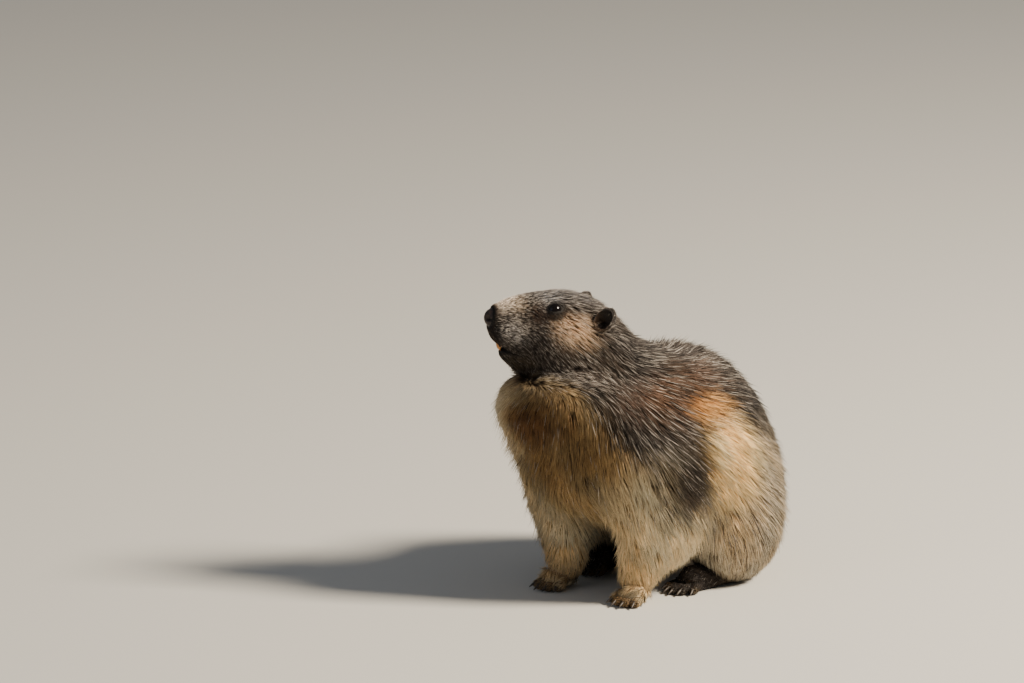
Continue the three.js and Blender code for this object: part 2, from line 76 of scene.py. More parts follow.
body = {
    "trunk": [  # sections from chest to rump: station, half width, top, bottom
        (-90, 76, 162, 62), (-58, 80, 179, 45), (-18, 90, 185, 30), (18, 89, 195, 18),
        (46, 77, 180, 12), (68, 68, 151, 12), (86, 55, 119, 15), (98, 40, 92, 19),
    ],
    "trunkEnds": (48, 13),
    "forms": [  # the left one of each pair: centre, radii and blend
        ((57, 16, 55), (41, 48, 55), 24),  # thighs
        ((46, -58, 96), (40, 44, 58), 24),  # shoulders
        ((48, -56, 47), (22, 26, 25), 12),  # elbows
    ],
    "foreleg": {"from": (46, -74, 66), "to": (37, -84, 22), "radii": (32, 18), "blend": 16},
    "chest": {"centre": (-24, -102, 154), "radii": (58, 55, 38), "blend": 30},
    "neck": {"from": (-2, -55, 152), "intoSkull": (84, 0, -8), "radii": (62, 27), "blend": 26},
    "headBlend": 14,
}
tail = {
    "path": [(2, 88, 40), (-14, 121, 27), (-44, 136, 21), (-78, 132, 20), (-105, 111, 19), (-122, 82, 15)],
    "radius": 20,
    "thinAtRoot": 0.85,
    "swell": 0.15,
    "thinAtEnd": 0.6,
    "jointBlend": 6,
    "rootBlend": 14,
}
feet = {
    "front": {"wrist": (37, -80, 25), "heel": (38, -83, 11), "ball": (40, -91, 9), "width": 11.5, "toe": 4.6,
              "toes": [(30, -103), (36.6, -107), (43.8, -107), (50.4, -102.5)]},
    "hind": {"wrist": (57, 24, 26), "heel": (57, 30, 9), "ball": (50, -28, 9), "width": 12, "toe": 4.3,
             "toes": [(36.5, -41), (42, -46), (48, -48), (54, -46), (60, -39)]},
}
toeSpread = 0.75  # how close together the toes leave the foot, against their tips
toeBlend = 1.6
smallest = 1e-9


def mix(a, b, t):
    return a + (b - a) * t


def smoothStep(x, low, high):
    t = np.clip((x - low) / (high - low), 0, 1)
    return t * t * (3 - 2 * t)


def smoothMin(a, b, k):
    return np.minimum(a, b) - np.maximum(k - np.abs(a - b), 0) ** 2 / (4 * k)


def lengths(v):
    return np.sqrt(np.einsum("...i,...i->...", v, v))


def unit(v):
    return v / np.maximum(lengths(v), smallest)[..., None]


def mirrored(p):  # the right side of the body brought to its left
    return np.stack([np.abs(p[:, 0]), p[:, 1], p[:, 2]], axis=1)


def ellipsoid(p, centre, radii):  # distance, negative inside
    q = (p - np.array(centre, float)) / radii
    k0 = lengths(q)
    k1 = lengths(q / radii)
    return k0 * (k0 - 1) / np.maximum(k1, smallest)


def limb(p, a, b, radiusA, radiusB):
    a, b = np.array(a, float), np.array(b, float)
    t = np.clip((p - a) @ (b - a) / ((b - a) @ (b - a)), 0, 1)
    return lengths(p - a - t[:, None] * (b - a)) - mix(radiusA, radiusB, t)


def roundedBody(across, station, height, rows, ends):  # smooth through its sections, rounded past both ends
    rows = np.array(rows, float)
    stations = rows[:, 0]
    s = np.clip(station, stations[0], stations[-1])
    i = np.clip(np.searchsorted(stations, s), 1, len(rows) - 1)
    after = np.minimum(np.arange(len(rows)) + 1, len(rows) - 1)
    before = np.maximum(np.arange(len(rows)) - 1, 0)
    rate = (rows[after] - rows[before]) / (stations[after] - stations[before])[:, None]
    span = (stations[i] - stations[i - 1])[:, None]
    t = ((s - stations[i - 1]) / span[:, 0])[:, None]
    size = ((2 * t ** 3 - 3 * t ** 2 + 1) * rows[i - 1] + (t ** 3 - 2 * t ** 2 + t) * rate[i - 1] * span
            + (3 * t ** 2 - 2 * t ** 3) * rows[i] + (t ** 3 - t ** 2) * rate[i] * span)
    end = np.where(station < stations[0], ends[0], ends[1])
    beyond = np.maximum(np.maximum(stations[0] - station, station - stations[-1]), 0)
    q = np.stack([across, beyond, height - (size[:, 2] + size[:, 3]) / 2], axis=1)
    return ellipsoid(q, (0, 0, 0), np.stack([size[:, 1], end, (size[:, 2] - size[:, 3]) / 2], axis=1))


# The head's own frame: back from the nose tip, to its left, and up
sinTurn, cosTurn = math.sin(head["turn"]), math.cos(head["turn"])
sinRaise, cosRaise = math.sin(head["raise"]), math.cos(head["raise"])
forward = np.array([-sinTurn * cosRaise, -cosTurn * cosRaise, sinRaise])
headLeft = np.array([cosTurn, -sinTurn, 0])
headUp = np.cross(forward, headLeft)
noseTip = np.array(head["noseTip"], float)


def headPoint(back, left, up):
    return noseTip - back * forward + left * headLeft + up * headUp


def headWay(side, outward, ahead, up):
    return outward * side * headLeft + ahead * forward + up * headUp


def toHead(p):
    q = p - noseTip
    return -(q @ forward), q @ headLeft, q @ headUp


def headField(p):
    back, left, up = toHead(p)
    q = np.stack([np.abs(left), back, up], axis=1)
    d = roundedBody(left, back, up, head["skull"], head["skullEnds"])
    for centre, radii, blend in head["forms"]:
        d = smoothMin(d, ellipsoid(q, centre, radii), blend)
    return d


def bodyField(p):
    q = mirrored(p)
    foreleg, chest, neck = body["foreleg"], body["chest"], body["neck"]
    d = roundedBody(p[:, 0], p[:, 1], p[:, 2], body["trunk"], body["trunkEnds"])
    for centre, radii, blend in body["forms"]:
        d = smoothMin(d, ellipsoid(q, centre, radii), blend)
    d = smoothMin(d, limb(q, foreleg["from"], foreleg["to"], *foreleg["radii"]), foreleg["blend"])
    d = smoothMin(d, ellipsoid(p, chest["centre"], chest["radii"]), chest["blend"])
    return smoothMin(d, limb(p, neck["from"], headPoint(*neck["intoSkull"]), *neck["radii"]), neck["blend"])


tailPath = np.array(tail["path"], float)
tailSteps = range(len(tailPath) - 1)


def tailSwell(n):
    last = len(tailSteps)
    full = tail["thinAtRoot"] + tail["swell"] * math.sin(math.pi * n / last)
    return tail["radius"] * (tail["thinAtEnd"] if n == last else full)


def tailField(p):
    d = None
    for n in tailSteps:
        piece = limb(p, tailPath[n], tailPath[n + 1], tailSwell(n), tailSwell(n + 1))
        d = piece if d is None else smoothMin(d, piece, tail["jointBlend"])
    return d


def coat(p):  # the outside of the coat, out to its tips
    d = smoothMin(bodyField(p), headField(p), body["headBlend"])
    return smoothMin(d, tailField(p), tail["rootBlend"])


def toeRoot(foot, x):  # where a toe leaves the ball of its foot
    ball = foot["ball"]
    return ball[0] + (x - ball[0]) * toeSpread, ball[1] - 4, 6


def footRods(foot):  # each foot as round-ended rods: from, to, and their radii
    width, toe = foot["width"], foot["toe"]
    yield foot["wrist"], foot["heel"], width * 0.85, width * 0.8
    yield foot["heel"], foot["ball"], width * 0.8, width
    for x, y in foot["toes"]:
        yield toeRoot(foot, x), (x, y, toe - 0.9), toe * 1.1, toe


def feetField(p):
    q = mirrored(p)
    d = None
    for foot in feet.values():
        for a, b, radiusA, radiusB in footRods(foot):
            rod = limb(q, a, b, radiusA, radiusB)
            d = rod if d is None else smoothMin(d, rod, toeBlend)
    return d


def valueAndSlope(field, p, step=0.2):
    here = field(p)
    return here, np.stack([(field(p + d) - here) / step for d in np.eye(3) * step], axis=1)


def slope(field, p):
    return valueAndSlope(field, p)[1]


def onSideOfHead(back, up, side):  # where the coat ends on that side, halving towards it
    inside, outside = 0.0, 70.0
    for _ in range(24):
        middle = (inside + outside) / 2
        if coat(headPoint(back, side * middle, up)[None])[0] < 0:
            inside = middle
        else:
            outside = middle
    at = headPoint(back, side * inside, up)
    return at, unit(slope(coat, at[None]))[0]


def pastSkull(back, up):  # how far behind the plane between head and neck
    neckBack, neckUp = head["neckAt"]
    return math.cos(head["neckTilt"]) * (back - neckBack) - math.sin(head["neckTilt"]) * (up - neckUp)


def pastHead(p):  # how far behind the head's share of the body
    back, _, up = toHead(p)
    return np.maximum(pastSkull(back, up), head["throatUp"] - up)


def frameAt(out, up):  # columns: across, up, out
    up = unit(up - (up @ out) * out)
    return np.stack([np.cross(up, out), up, out], axis=1)


sides = (("left", 1), ("right", -1))
eyes, ears = {}, {}
for name, side in sides:
    at, out = onSideOfHead(head["eyeBack"], head["eyeUp"], side)
    centre = at + out * (head["eyeShows"] - head["eyeRadius"])
    eyes[name] = {"centre": centre, "turn": frameAt(out, headUp), "side": side}
    at, _ = onSideOfHead(head["earBack"], head["earUp"], side)
    opensTo = unit(headWay(side, 0.78, 0.58, 0.2))
    turn = frameAt(opensTo, headWay(side, 0.25, -0.4, 0.9))
    ears[name] = {"centre": at + headLeft * side * 1.5 + turn[:, 1] * 3, "turn": turn}

cadEye = np.array([sum(pair) / 2 for pair in zip(*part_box("eye_left"))]) * 1000
shift = cadEye - eyes["left"]["centre"]


def toScene(p):
    return (p + shift) / 1000


def within(part, p):  # in the frame of an eye or an ear: across, up and out
    return (p - part["centre"]) @ part["turn"]


def earDistance(p):
    return np.minimum(*[ellipsoid(within(ear, p), (0, 0, 0), head["earRadii"]) for ear in ears.values()])


def eyeDistance(p):  # from the middle of the nearer eye
    return np.minimum(*[lengths(p - eye["centre"]) for eye in eyes.values()])


# How deep the coat is, from the skin to the tips, and between which distances it changes
coatDepths = {
    "muzzle": 1.1, "nape": 7.0, "alongHead": (8, 105),
    "hem": 5.5, "back": 14.0, "upTrunk": (5, 85),
    "tail": 9.0, "ontoTail": (-6, 12),
    "behindHead": (-25, 45),
    "besideEye": 0.5, "roundEye": (6, 17),
}
footDepth = 1.0
skinBlend = 3


def coatDepth(p):
    back, _, _ = toHead(p)
    face = mix(coatDepths["muzzle"], coatDepths["nape"], smoothStep(back, *coatDepths["alongHead"]))
    trunk = mix(coatDepths["hem"], coatDepths["back"], smoothStep(p[:, 2], *coatDepths["upTrunk"]))
    onTail = smoothStep(bodyField(p) - tailField(p), *coatDepths["ontoTail"])
    depth = mix(trunk, coatDepths["tail"], onTail)
    depth = mix(depth, face, 1 - smoothStep(pastHead(p), *coatDepths["behindHead"]))
    return mix(coatDepths["besideEye"], depth, smoothStep(eyeDistance(p), *coatDepths["roundEye"]))


def skinField(p):
    d = coat(p) + coatDepth(p)
    d = smoothMin(d, earDistance(p), skinBlend)
    return smoothMin(d, feetField(p) + footDepth, skinBlend)


# The camera stands at the photograph's angle, far off with a long lens.
view = {"azimuth": math.radians(40), "elevation": math.radians(12), "distance": 5.0, "imageWidth": 0.840,
        "originPixel": (666, 574), "image": (1024, 683), "sensor": 36}


def addCamera():
    a, e = view["azimuth"], view["elevation"]
    right = Vector((math.cos(a), math.sin(a), 0))
    back = Vector((math.sin(a) * math.cos(e), -math.cos(a) * math.cos(e), math.sin(e)))
    up = back.cross(right)
    pixel = view["imageWidth"] / view["image"][0]
    across = (view["originPixel"][0] - view["image"][0] / 2) * pixel
    down = (view["originPixel"][1] - view["image"][1] / 2) * pixel
    aim = Vector(toScene(np.zeros(3))) - right * across + up * down
    data = bpy.data.cameras.new("camera")
    data.sensor_width = view["sensor"]
    data.lens = view["sensor"] * view["distance"] / view["imageWidth"]
    data.clip_start, data.clip_end = 0.1, 50
    camera = bpy.data.objects.new("camera", data)
    camera.location = aim + back * view["distance"]
    camera.rotation_euler = Matrix((right, up, back)).transposed().to_euler()
    bpy.context.scene.collection.objects.link(camera)
    bpy.context.scene.camera = camera


addCamera()
print("camera set")


def linear(colour):  # sRGB hex to linear
    channels = [int(colour[i:i + 2], 16) / 255 for i in (1, 3, 5)]
    return [c / 12.92 if c <= 0.04045 else ((c + 0.055) / 1.055) ** 2.4 for c in channels]


def addMaterial(name, colour=None, **settings):
    material = bpy.data.materials.new(name)
    material.use_nodes = True
    shader = material.node_tree.nodes["Principled BSDF"]
    if colour:
        shader.inputs["Base Color"].default_value = (*linear(colour), 1)
    for key, value in settings.items():
        shader.inputs[key].default_value = value
    return material, shader


def addNode(material, kind, links=None, **settings):
    node = material.node_tree.nodes.new(kind)
    for key, value in settings.items():
        if hasattr(node, key):
            setattr(node, key, value)
        else:
            node.inputs[key].default_value = value
    for key, source in (links or {}).items():
        material.node_tree.links.new(source, node.inputs[key])
    return node


def addObject(name, mesh, material):
    piece = bpy.data.objects.new(name, mesh)
    bpy.context.scene.collection.objects.link(piece)
    piece.data.materials.append(material)
    return piece


def smoothShaded(mesh):
    mesh.polygons.foreach_set("use_smooth", np.ones(len(mesh.polygons), bool))


def meshFrom(bm, name):
    mesh = bpy.data.meshes.new(name)
    bm.to_mesh(mesh)
    bm.free()
    return mesh


# The lie of the coat: back from the nose, back along the trunk and down its sides, along the tail
lie = {
    "behindHead": (-10, 50), "overThroat": (-4, 10),
    "faceDown": 0.7, "alongFace": (5, 60),
    "chest": (-125, -70), "parting": 0.55, "partedAt": -15, "partedOver": 35,
    "trunkBack": 0.75, "chestBack": -0.3, "upTrunk": (5, 110),
    "ontoTail": (-8, 8), "tailOut": 0.25,
    "ear": (0, 3), "earBack": 0.5,
}


def lieOfCoat(p, out):
    back, _, up = toHead(p)
    throatLow, throatHigh = (head["throatUp"] + edge for edge in lie["overThroat"])
    onHead = (1 - smoothStep(pastSkull(back, up), *lie["behindHead"])) * smoothStep(up, throatLow, throatHigh)
    faceWay = -forward - lie["faceDown"] * headUp * smoothStep(back, *lie["alongFace"])[:, None]
    front = 1 - smoothStep(p[:, 1], *lie["chest"])  # the chest's hair parts to either side as it falls
    outward = lie["parting"] * front * np.clip((p[:, 0] - lie["partedAt"]) / lie["partedOver"], -1, 1)
    backward = mix(lie["trunkBack"], lie["chestBack"], front) * smoothStep(p[:, 2], *lie["upTrunk"])
    trunkWay = np.stack([outward, backward, -np.ones(len(p))], axis=1)
    way = mix(trunkWay, faceWay, onHead[:, None])
    reach = np.stack([limb(p, tailPath[n], tailPath[n + 1], 1, 1) for n in tailSteps])
    tailWay = np.diff(tailPath, axis=0)[np.argmin(reach, axis=0)]
    onTail = smoothStep(bodyField(p) - tailField(p), *lie["ontoTail"])[:, None]
    way = mix(way, unit(tailWay) + lie["tailOut"] * out, onTail)
    inEar = 1 - smoothStep(earDistance(p), *lie["ear"])
    way = mix(way, headUp - lie["earBack"] * forward, inEar[:, None])
    return unit(way - np.sum(way * out, axis=1)[:, None] * out)


# Markings and painted light, in mm: soft-edged ovals laid over each other, each with the colours of its
# underfur, hair and tips, and the share of its hairs that are grizzled, dark with a pale tip. Some ovals also
# carry painted shade, and some painted light, as said at each. The first two are so vast that their edges are
# flat here.
coatColours = {"under": "#1c1714", "hair": "#2a2320", "tip": "#5a514b", "dark": "#191512", "pale": "#d8cfc6",
               "earLining": "#7a7265", "bareSkinAndShade": "#130e0c", "grizzle": 0.5}
bodyMarksAndPaintedLight = [
    # at |x|, y, z, radii, softness, under, hair, tip, share grizzled
    ((0, 0, -3920), (4000, 4000, 4000), 12, "#57452f", "#a38d6d", "#d8c8ab", 0.2),  # low on the body
    # throat and chest: brown fur, made darker still as painted shade on the chest
    ((0, -3819, -1363), (4000, 4000, 4000), 7, "#3d2d1d", "#806849", "#c0aa82", 0.06),  # throat, chest
    # painted shade in the middle of the chest, over darker brown fur
    ((16, -146, 128), (26, 36, 44), 20, "#24180e", "#513d25", "#8c744e", 0.06),  # dark middle of the chest
    ((48, -62, 172), (42, 52, 17), 12, "#21160f", "#412e23", "#6f584a", 0.3),  # brown over the shoulder
    ((82, 20, 74), (48, 44, 62), 22, "#57452f", "#bda586", "#eadbc0", 0.34),  # haunch
    ((86, -30, 122), (34, 35, 42), 11, "#97662b", "#efc27a", "#ffebbd", 0.02),  # gold on the thigh
    ((70, -36, 158), (26, 26, 12), 8, "#6b3f1c", "#a86c34", "#dcae72", 0.08),  # its rusty upper edge
    # forelegs: pale buff fur, made paler still as painted light where the legs face the light
    ((56, -84, 58), (44, 38, 66), 22, "#7d6344", "#c9ad82", "#f0e0be", 0.05),  # forelegs
    # paler sides of the chest: pale hair tips, and painted light where the hair there is backlit
    ((60, -142, 142), (22, 26, 40), 14, "#4d3d2b", "#a28b6b", "#dccbaa", 0.08),  # pale sides of the chest
    ((80, -78, 116), (22, 26, 40), 17, "#120f0d", "#1c1715", "#3d3530", 0.2),  # dark behind the shoulder
    # pale back of the foreleg: cream fur, with a painted highlight along the leg's edge
    ((70, -58, 40), (26, 22, 30), 12, "#927550", "#d9bf92", "#f8eacb", 0.03),  # pale back of the foreleg
    ((41, -109, 4), (18, 9, 8), 4, "#3a2c1f", "#6f583e", "#a08a68", 0.1),  # toes of the forefeet
    # painted shade in the hollow of the throat, over dark brown fur
    ((16, -156, 156), (30, 18, 15), 9, "#180e07", "#392410", "#70522e", 0.1),  # dark hollow of the throat
    ((0, -30, 10), (46, 60, 32), 14, "#2e2217", "#6a5237", "#96794f", 0.1),  # belly
    ((51, -18, 8), (18, 42, 20), 7, "#171210", "#241d1a", "#40372f", 0.2),  # dark hind feet
    ((60, 130, 20), (64, 34, 28), 10, "#231c17", "#4c3f35", "#8b7c6e", 0.35),  # tail
    ((118, 84, 16), (30, 34, 26), 12, "#191512", "#2c2521", "#463c35", 0.1),  # end of the tail
]
headMarksAndPaintedShade = [
    # at back, |left|, up, and the same again
    ((15, 0, 13), (15, 14, 10), 5, "#51463e", "#84786e", "#cfc5bb", 0.25),  # top of the muzzle
    ((20, 17, -6), (13, 12, 11), 5, "#28221f", "#4b4340", "#a8a098", 0.5),  # whisker pads
    ((5, 0, 0), (7, 11, 11), 2, "#1a1513", "#28211d", "#463d37", 0.05),  # rim of the nose pad
    ((6, 0, -13), (11, 13, 9), 3, "#1a1513", "#28201c", "#40362f", 0.05),  # dark lip under the nose
    ((36, 24, 13), (9, 14, 8), 4, "#1c1715", "#322825", "#5c4e46", 0.2),  # ahead of the eye
    ((66, 36, 7), (24, 14, 14), 8, "#543d2c", "#97795f", "#d3bca3", 0.3),  # behind the eye
    ((50, 20, 27), (30, 24, 8), 8, "#1f1b1a", "#363130", "#7f7a79", 0.5),  # crown
    # painted shade under the chin and jaw
    ((32, 10, -33), (20, 18, 10), 5, "#1c1814", "#302922", "#5e5448", 0.2),  # chin and jaw
]
headMarksFade = (-22, 8)  # past the head


def colourOf(key):
    return np.array(linear(coatColours[key]))


def markingsAndPaintedLight(p):
    count = len(p)
    under, hair, tip = (np.tile(colourOf(key), (count, 1)) for key in ("under", "hair", "tip"))
    grizzle = np.full(count, coatColours["grizzle"])
    onHead = 1 - smoothStep(pastHead(p), *headMarksFade)
    back, left, up = toHead(p)
    headAt = np.stack([back, np.abs(left), up], axis=1)
    for rows, q, share in ((bodyMarksAndPaintedLight, mirrored(p), 1 - onHead), (headMarksAndPaintedShade, headAt, onHead)):
        for at, radii, soft, markUnder, markHair, markTip, markGrizzle in rows:
            weight = (1 - smoothStep(ellipsoid(q, at, radii), -soft, soft)) * share
            under = mix(under, np.array(linear(markUnder)), weight[:, None])
            hair = mix(hair, np.array(linear(markHair)), weight[:, None])
            tip = mix(tip, np.array(linear(markTip)), weight[:, None])
            grizzle = mix(grizzle, markGrizzle, weight)
    return under, hair, tip, grizzle


# The skin: lumps well inside the coat made one by a voxel remesh, then drawn out onto skinField
skin = {
    "voxel": 3.6, "relax": 5,
    "trunkInset": (14, 13), "trunkReach": 22,
    "skullInset": 3, "skullReach": 9,
    "pairedLumps": [  # the left one of each pair
        ((57, 16, 57), (28, 36, 44)),  # thigh
        ((46, -58, 96), (28, 32, 46)),  # shoulder
    ],
    "pairedRods": [
        ((46, -74, 66), (37, -84, 22), 22, 11),  # foreleg
        ((57, 24, 50), (57, 24, 20), 16, 12),  # shank
    ],
    "chestRadii": (46, 42, 28), "neckRadii": (46, 24),
    "tailInset": (8, 7),
}


def oval(bm, centre, radii, turn=None):
    place = Matrix.Translation(Vector(centre))
    if turn is not None:
        place = place @ Matrix(turn.tolist()).to_4x4()
    place = place @ Matrix.Diagonal((*radii, 1))
    bmesh.ops.create_icosphere(bm, subdivisions=2, radius=1, matrix=place)


def rodOf(bm, a, b, radiusA, radiusB):
    for t in (0, 0.33, 0.67, 1):
        oval(bm, mix(np.array(a, float), np.array(b, float), t), [mix(radiusA, radiusB, t)] * 3)


def onSide(side, p):
    return p[0] * side, p[1], p[2]


def roughSkin():
    bm = bmesh.new()
    wide, high = skin["trunkInset"]
    for y, half, top, bottom in body["trunk"]:
        oval(bm, (0, y, (top + bottom) / 2), (half - wide, skin["trunkReach"], (top - bottom) / 2 - high))
    for _, side in sides:
        for centre, radii in skin["pairedLumps"]:
            oval(bm, onSide(side, centre), radii)
        rods = skin["pairedRods"] + [rod for foot in feet.values() for rod in footRods(foot)]
        for a, b, radiusA, radiusB in rods:
            rodOf(bm, onSide(side, a), onSide(side, b), radiusA, radiusB)
    oval(bm, body["chest"]["centre"], skin["chestRadii"])
    rodOf(bm, body["neck"]["from"], headPoint(*body["neck"]["intoSkull"]), *skin["neckRadii"])
    headTurn = np.stack([headLeft, -forward, headUp], axis=1)
    inset = skin["skullInset"]
    for back, half, top, bottom in head["skull"]:
        middle = headPoint(back, 0, (top + bottom) / 2)
        oval(bm, middle, (half - inset, skin["skullReach"], (top - bottom) / 2 - inset), headTurn)
    near, far = skin["tailInset"]
    for n in tailSteps:
        rodOf(bm, tailPath[n], tailPath[n + 1], tailSwell(n) - near, tailSwell(n + 1) - far)
    for ear in ears.values():
        oval(bm, ear["centre"], head["earRadii"], ear["turn"])
    rough = bpy.data.objects.new("rough", meshFrom(bm, "skin"))
    bpy.context.scene.collection.objects.link(rough)
    remesh = rough.modifiers.new("remesh", "REMESH")
    remesh.mode = "VOXEL"
    remesh.voxel_size = skin["voxel"]
    whole = bpy.data.meshes.new_from_object(rough.evaluated_get(bpy.context.evaluated_depsgraph_get()))
    bpy.data.objects.remove(rough)
    return whole


def pointsOf(mesh):
    co = np.empty(len(mesh.vertices) * 3, np.float32)
    mesh.vertices.foreach_get("co", co)
    return co.reshape(-1, 3).astype(float)


def relaxed(mesh, p, share):  # each point drawn towards its neighbours
    ends = np.empty(len(mesh.edges) * 2, np.int32)
    mesh.edges.foreach_get("vertices", ends)
    a, b = ends.reshape(-1, 2).T
    near = np.concatenate([b, a])
    at = np.concatenate([a, b])
    count = np.bincount(at, minlength=len(p))
    total = np.stack([np.bincount(at, p[near, axis], len(p)) for axis in range(3)], axis=1)
    return mix(p, total / count[:, None], share)


def drawnOnto(p, field, most, times=1):
    for _ in range(times):
        value, g = valueAndSlope(field, p)
        reach = -value / np.maximum(lengths(g), 0.3)
        p = p + unit(g) * np.clip(reach, -most, most)[:, None]
    return p


def refined(mesh, p, chosen):  # twice as fine where chosen, and back onto the surface there
    bm = bmesh.new()
    bm.from_mesh(mesh)
    for vertex, co in zip(bm.verts, p):
        vertex.co = co
    near = chosen(p)
    edges = [edge for edge in bm.edges if near[edge.verts[0].index] and near[edge.verts[1].index]]
    bmesh.ops.subdivide_edges(bm, edges=edges, cuts=1, use_grid_fill=True)
    bmesh.ops.triangulate(bm, faces=[face for face in bm.faces if len(face.verts) > 4])
    bm.to_mesh(mesh)
    bm.free()
    p = pointsOf(mesh)
    near = chosen(p)
    for _ in range(3):
        p[near] = drawnOnto(relaxed(mesh, p, 0.5)[near], skinField, 1)
    return p


def nearSmallForms(p):
    return (pastHead(p) < 0) | (feetField(p) < 6) | (earDistance(p) < 5)


def nearFeatures(p):
    back, _, up = toHead(p)
    muzzle = (back < 44) & (up < 8) & (up > -34)
    return (eyeDistance(p) < 14) | (earDistance(p) < 2.5) | muzzle


def nearRims(p):
    past = pastHead(p)
    earRim = (np.abs(earDistance(p)) < 1.5) & (past < 20)
    lips = (mouthDistance(p) < 4) & (toHead(p)[0] < 40) & (past < 0)
    return (eyeDistance(p) < 10) | earRim | lips


def shapedSkin():
    mesh = roughSkin()
    p = drawnOnto(pointsOf(mesh), skinField, 5, 4)
    for _ in range(skin["relax"]):
        p = drawnOnto(relaxed(mesh, p, 0.6), skinField, 3)
    for chosen in (nearSmallForms, nearFeatures, nearRims):
        p = refined(mesh, p, chosen)
        print("skin points", len(p))
    return mesh, features(p)


# The mouth: open at the front, and a line back along each cheek to a corner that turns down
mouth = {
    "line": [(2, -17), (9, -20.2), (17, -22), (26, -23), (32, -25)],  # back and up
    "width": 1.1, "depth": 1.6,
    "openWidth": 2.6, "openDepth": 6.5, "opens": (12, 21),
    "lipWidth": 0.9, "lipRise": 0.45,
    # darkEdge: how far past the groove the dark colour runs, painted shade along the mouth line
    "reach": 36, "bareReach": 25, "bareWidth": 1.05, "darkEdge": 1.5,
}
nose = {"back": 6.8, "up": 1, "radii": (8.6, 8.2, 8.4), "dark": (0.5, 2.5)}  # radii back, across and up
lids = {
    "across": 5.6, "high": 3.6, "tilt": math.radians(10),
    "drawn": (0.7, 1.04), "edge": (0.985, 1.04),  # this band of the skin is drawn to the edge of the lids
    "clear": 0.15, "sunk": 2.5, "open": 0.98, "outer": 2.2,
    "foldAt": 1.17, "foldWidth": 0.12, "rise": 0.6,
    "bare": 1.13, "dark": (1.2, 1.6),
}
earCup = {
    "rim": (1.3, 1.4), "down": 0.4, "edge": 2.6, "depth": 3.4,
    "canalDown": 4, "canal": (2.4, 3.2), "canalDepth": 5.5,
}


def mouthDistance(p):
    back, _, up = toHead(p)
    line = np.array(mouth["line"], float)
    flat = np.stack([back, up, np.zeros(len(p))], axis=1)
    pieces = [limb(flat, (*line[n], 0), (*line[n + 1], 0), 0, 0) for n in range(len(line) - 1)]
    return np.minimum.reduce(pieces)


def noseDistance(p):
    back, left, up = toHead(p)
    q = np.stack([back - nose["back"], left, up - nose["up"]], axis=1)
    return ellipsoid(q, (0, 0, 0), nose["radii"])


def eyeRing(q, side):  # 1 along the edge of the almond-shaped opening, which is lower in front
    sin, cos = math.sin(lids["tilt"] * side), math.cos(lids["tilt"])
    x = (q[:, 0] * cos + q[:, 1] * sin) / lids["across"]
    y = (q[:, 1] * cos - q[:, 0] * sin) / lids["high"]
    lengthwise = x ** 2 / np.maximum(x ** 2 + y ** 2, smallest)
    return np.hypot(x, y / (1.12 - 0.3 * lengthwise))


# how dark: dark nose rim and lips, and painted shade along the mouth line
def cutMouth(p):  # also where the skin is bare, and how dark it is
    onHead = pastHead(p) < 0
    out = np.zeros_like(p)
    out[onHead] = unit(slope(skinField, p[onHead]))
    back, _, _ = toHead(p)
    d = mouthDistance(p)
    opened = 1 - smoothStep(back, *mouth["opens"])
    width = mix(mouth["width"], mouth["openWidth"], opened)
    groove = np.exp(-(d / width) ** 4) * mix(mouth["depth"], mouth["openDepth"], opened)
    lip = np.exp(-((d - width - mouth["lipWidth"]) / mouth["lipWidth"]) ** 2) * mouth["lipRise"]
    onMouth = onHead & (back < mouth["reach"])
    bare = onMouth & (d < width * mouth["bareWidth"]) & (back < mouth["bareReach"])
    dark = np.where(onMouth, 1 - smoothStep(d, width, width + mouth["darkEdge"]), 0)
    dark = np.maximum(dark, (1 - smoothStep(noseDistance(p), *nose["dark"])) * onHead)
    return p + out * (np.where(onMouth, lip - groove, 0))[:, None], bare, dark


def drawLids(p, bare, dark):  # up round each eye to a clean edge on the eyeball
    low, high = lids["drawn"]
    inner, outer = lids["edge"]
    for eye in eyes.values():
        q = within(eye, p)
        facing = q[:, 2] > 0
        ring = eyeRing(q, eye["side"])
        edge = (ring > low) & (ring < high) & facing
        drawn = np.where(edge, inner + (outer - inner) * (ring - low) / (high - low), ring)
        q[:, :2] *= (drawn / np.maximum(ring, 0.1))[:, None]
        ball = np.sqrt(np.maximum(head["eyeRadius"] ** 2 - q[:, 0] ** 2 - q[:, 1] ** 2, 0))
        fold = np.exp(-((drawn - lids["foldAt"]) / lids["foldWidth"]) ** 2) * lids["rise"]
        lidHeight = np.maximum(q[:, 2], ball + lids["clear"]) + fold
        onLid = (drawn >= lids["open"]) & (drawn < lids["outer"]) & facing
        q[:, 2] = np.where(onLid, lidHeight, q[:, 2])
        behind = (drawn < lids["open"]) & facing
        q[:, 2] = np.where(behind, np.minimum(q[:, 2], ball - lids["sunk"]), q[:, 2])
        bare = bare | (drawn < lids["bare"]) & facing
        dark = np.maximum(dark, (1 - smoothStep(drawn, *lids["dark"])) * facing)
        p = eye["centre"] + q @ eye["turn"].T
    return p, bare, dark


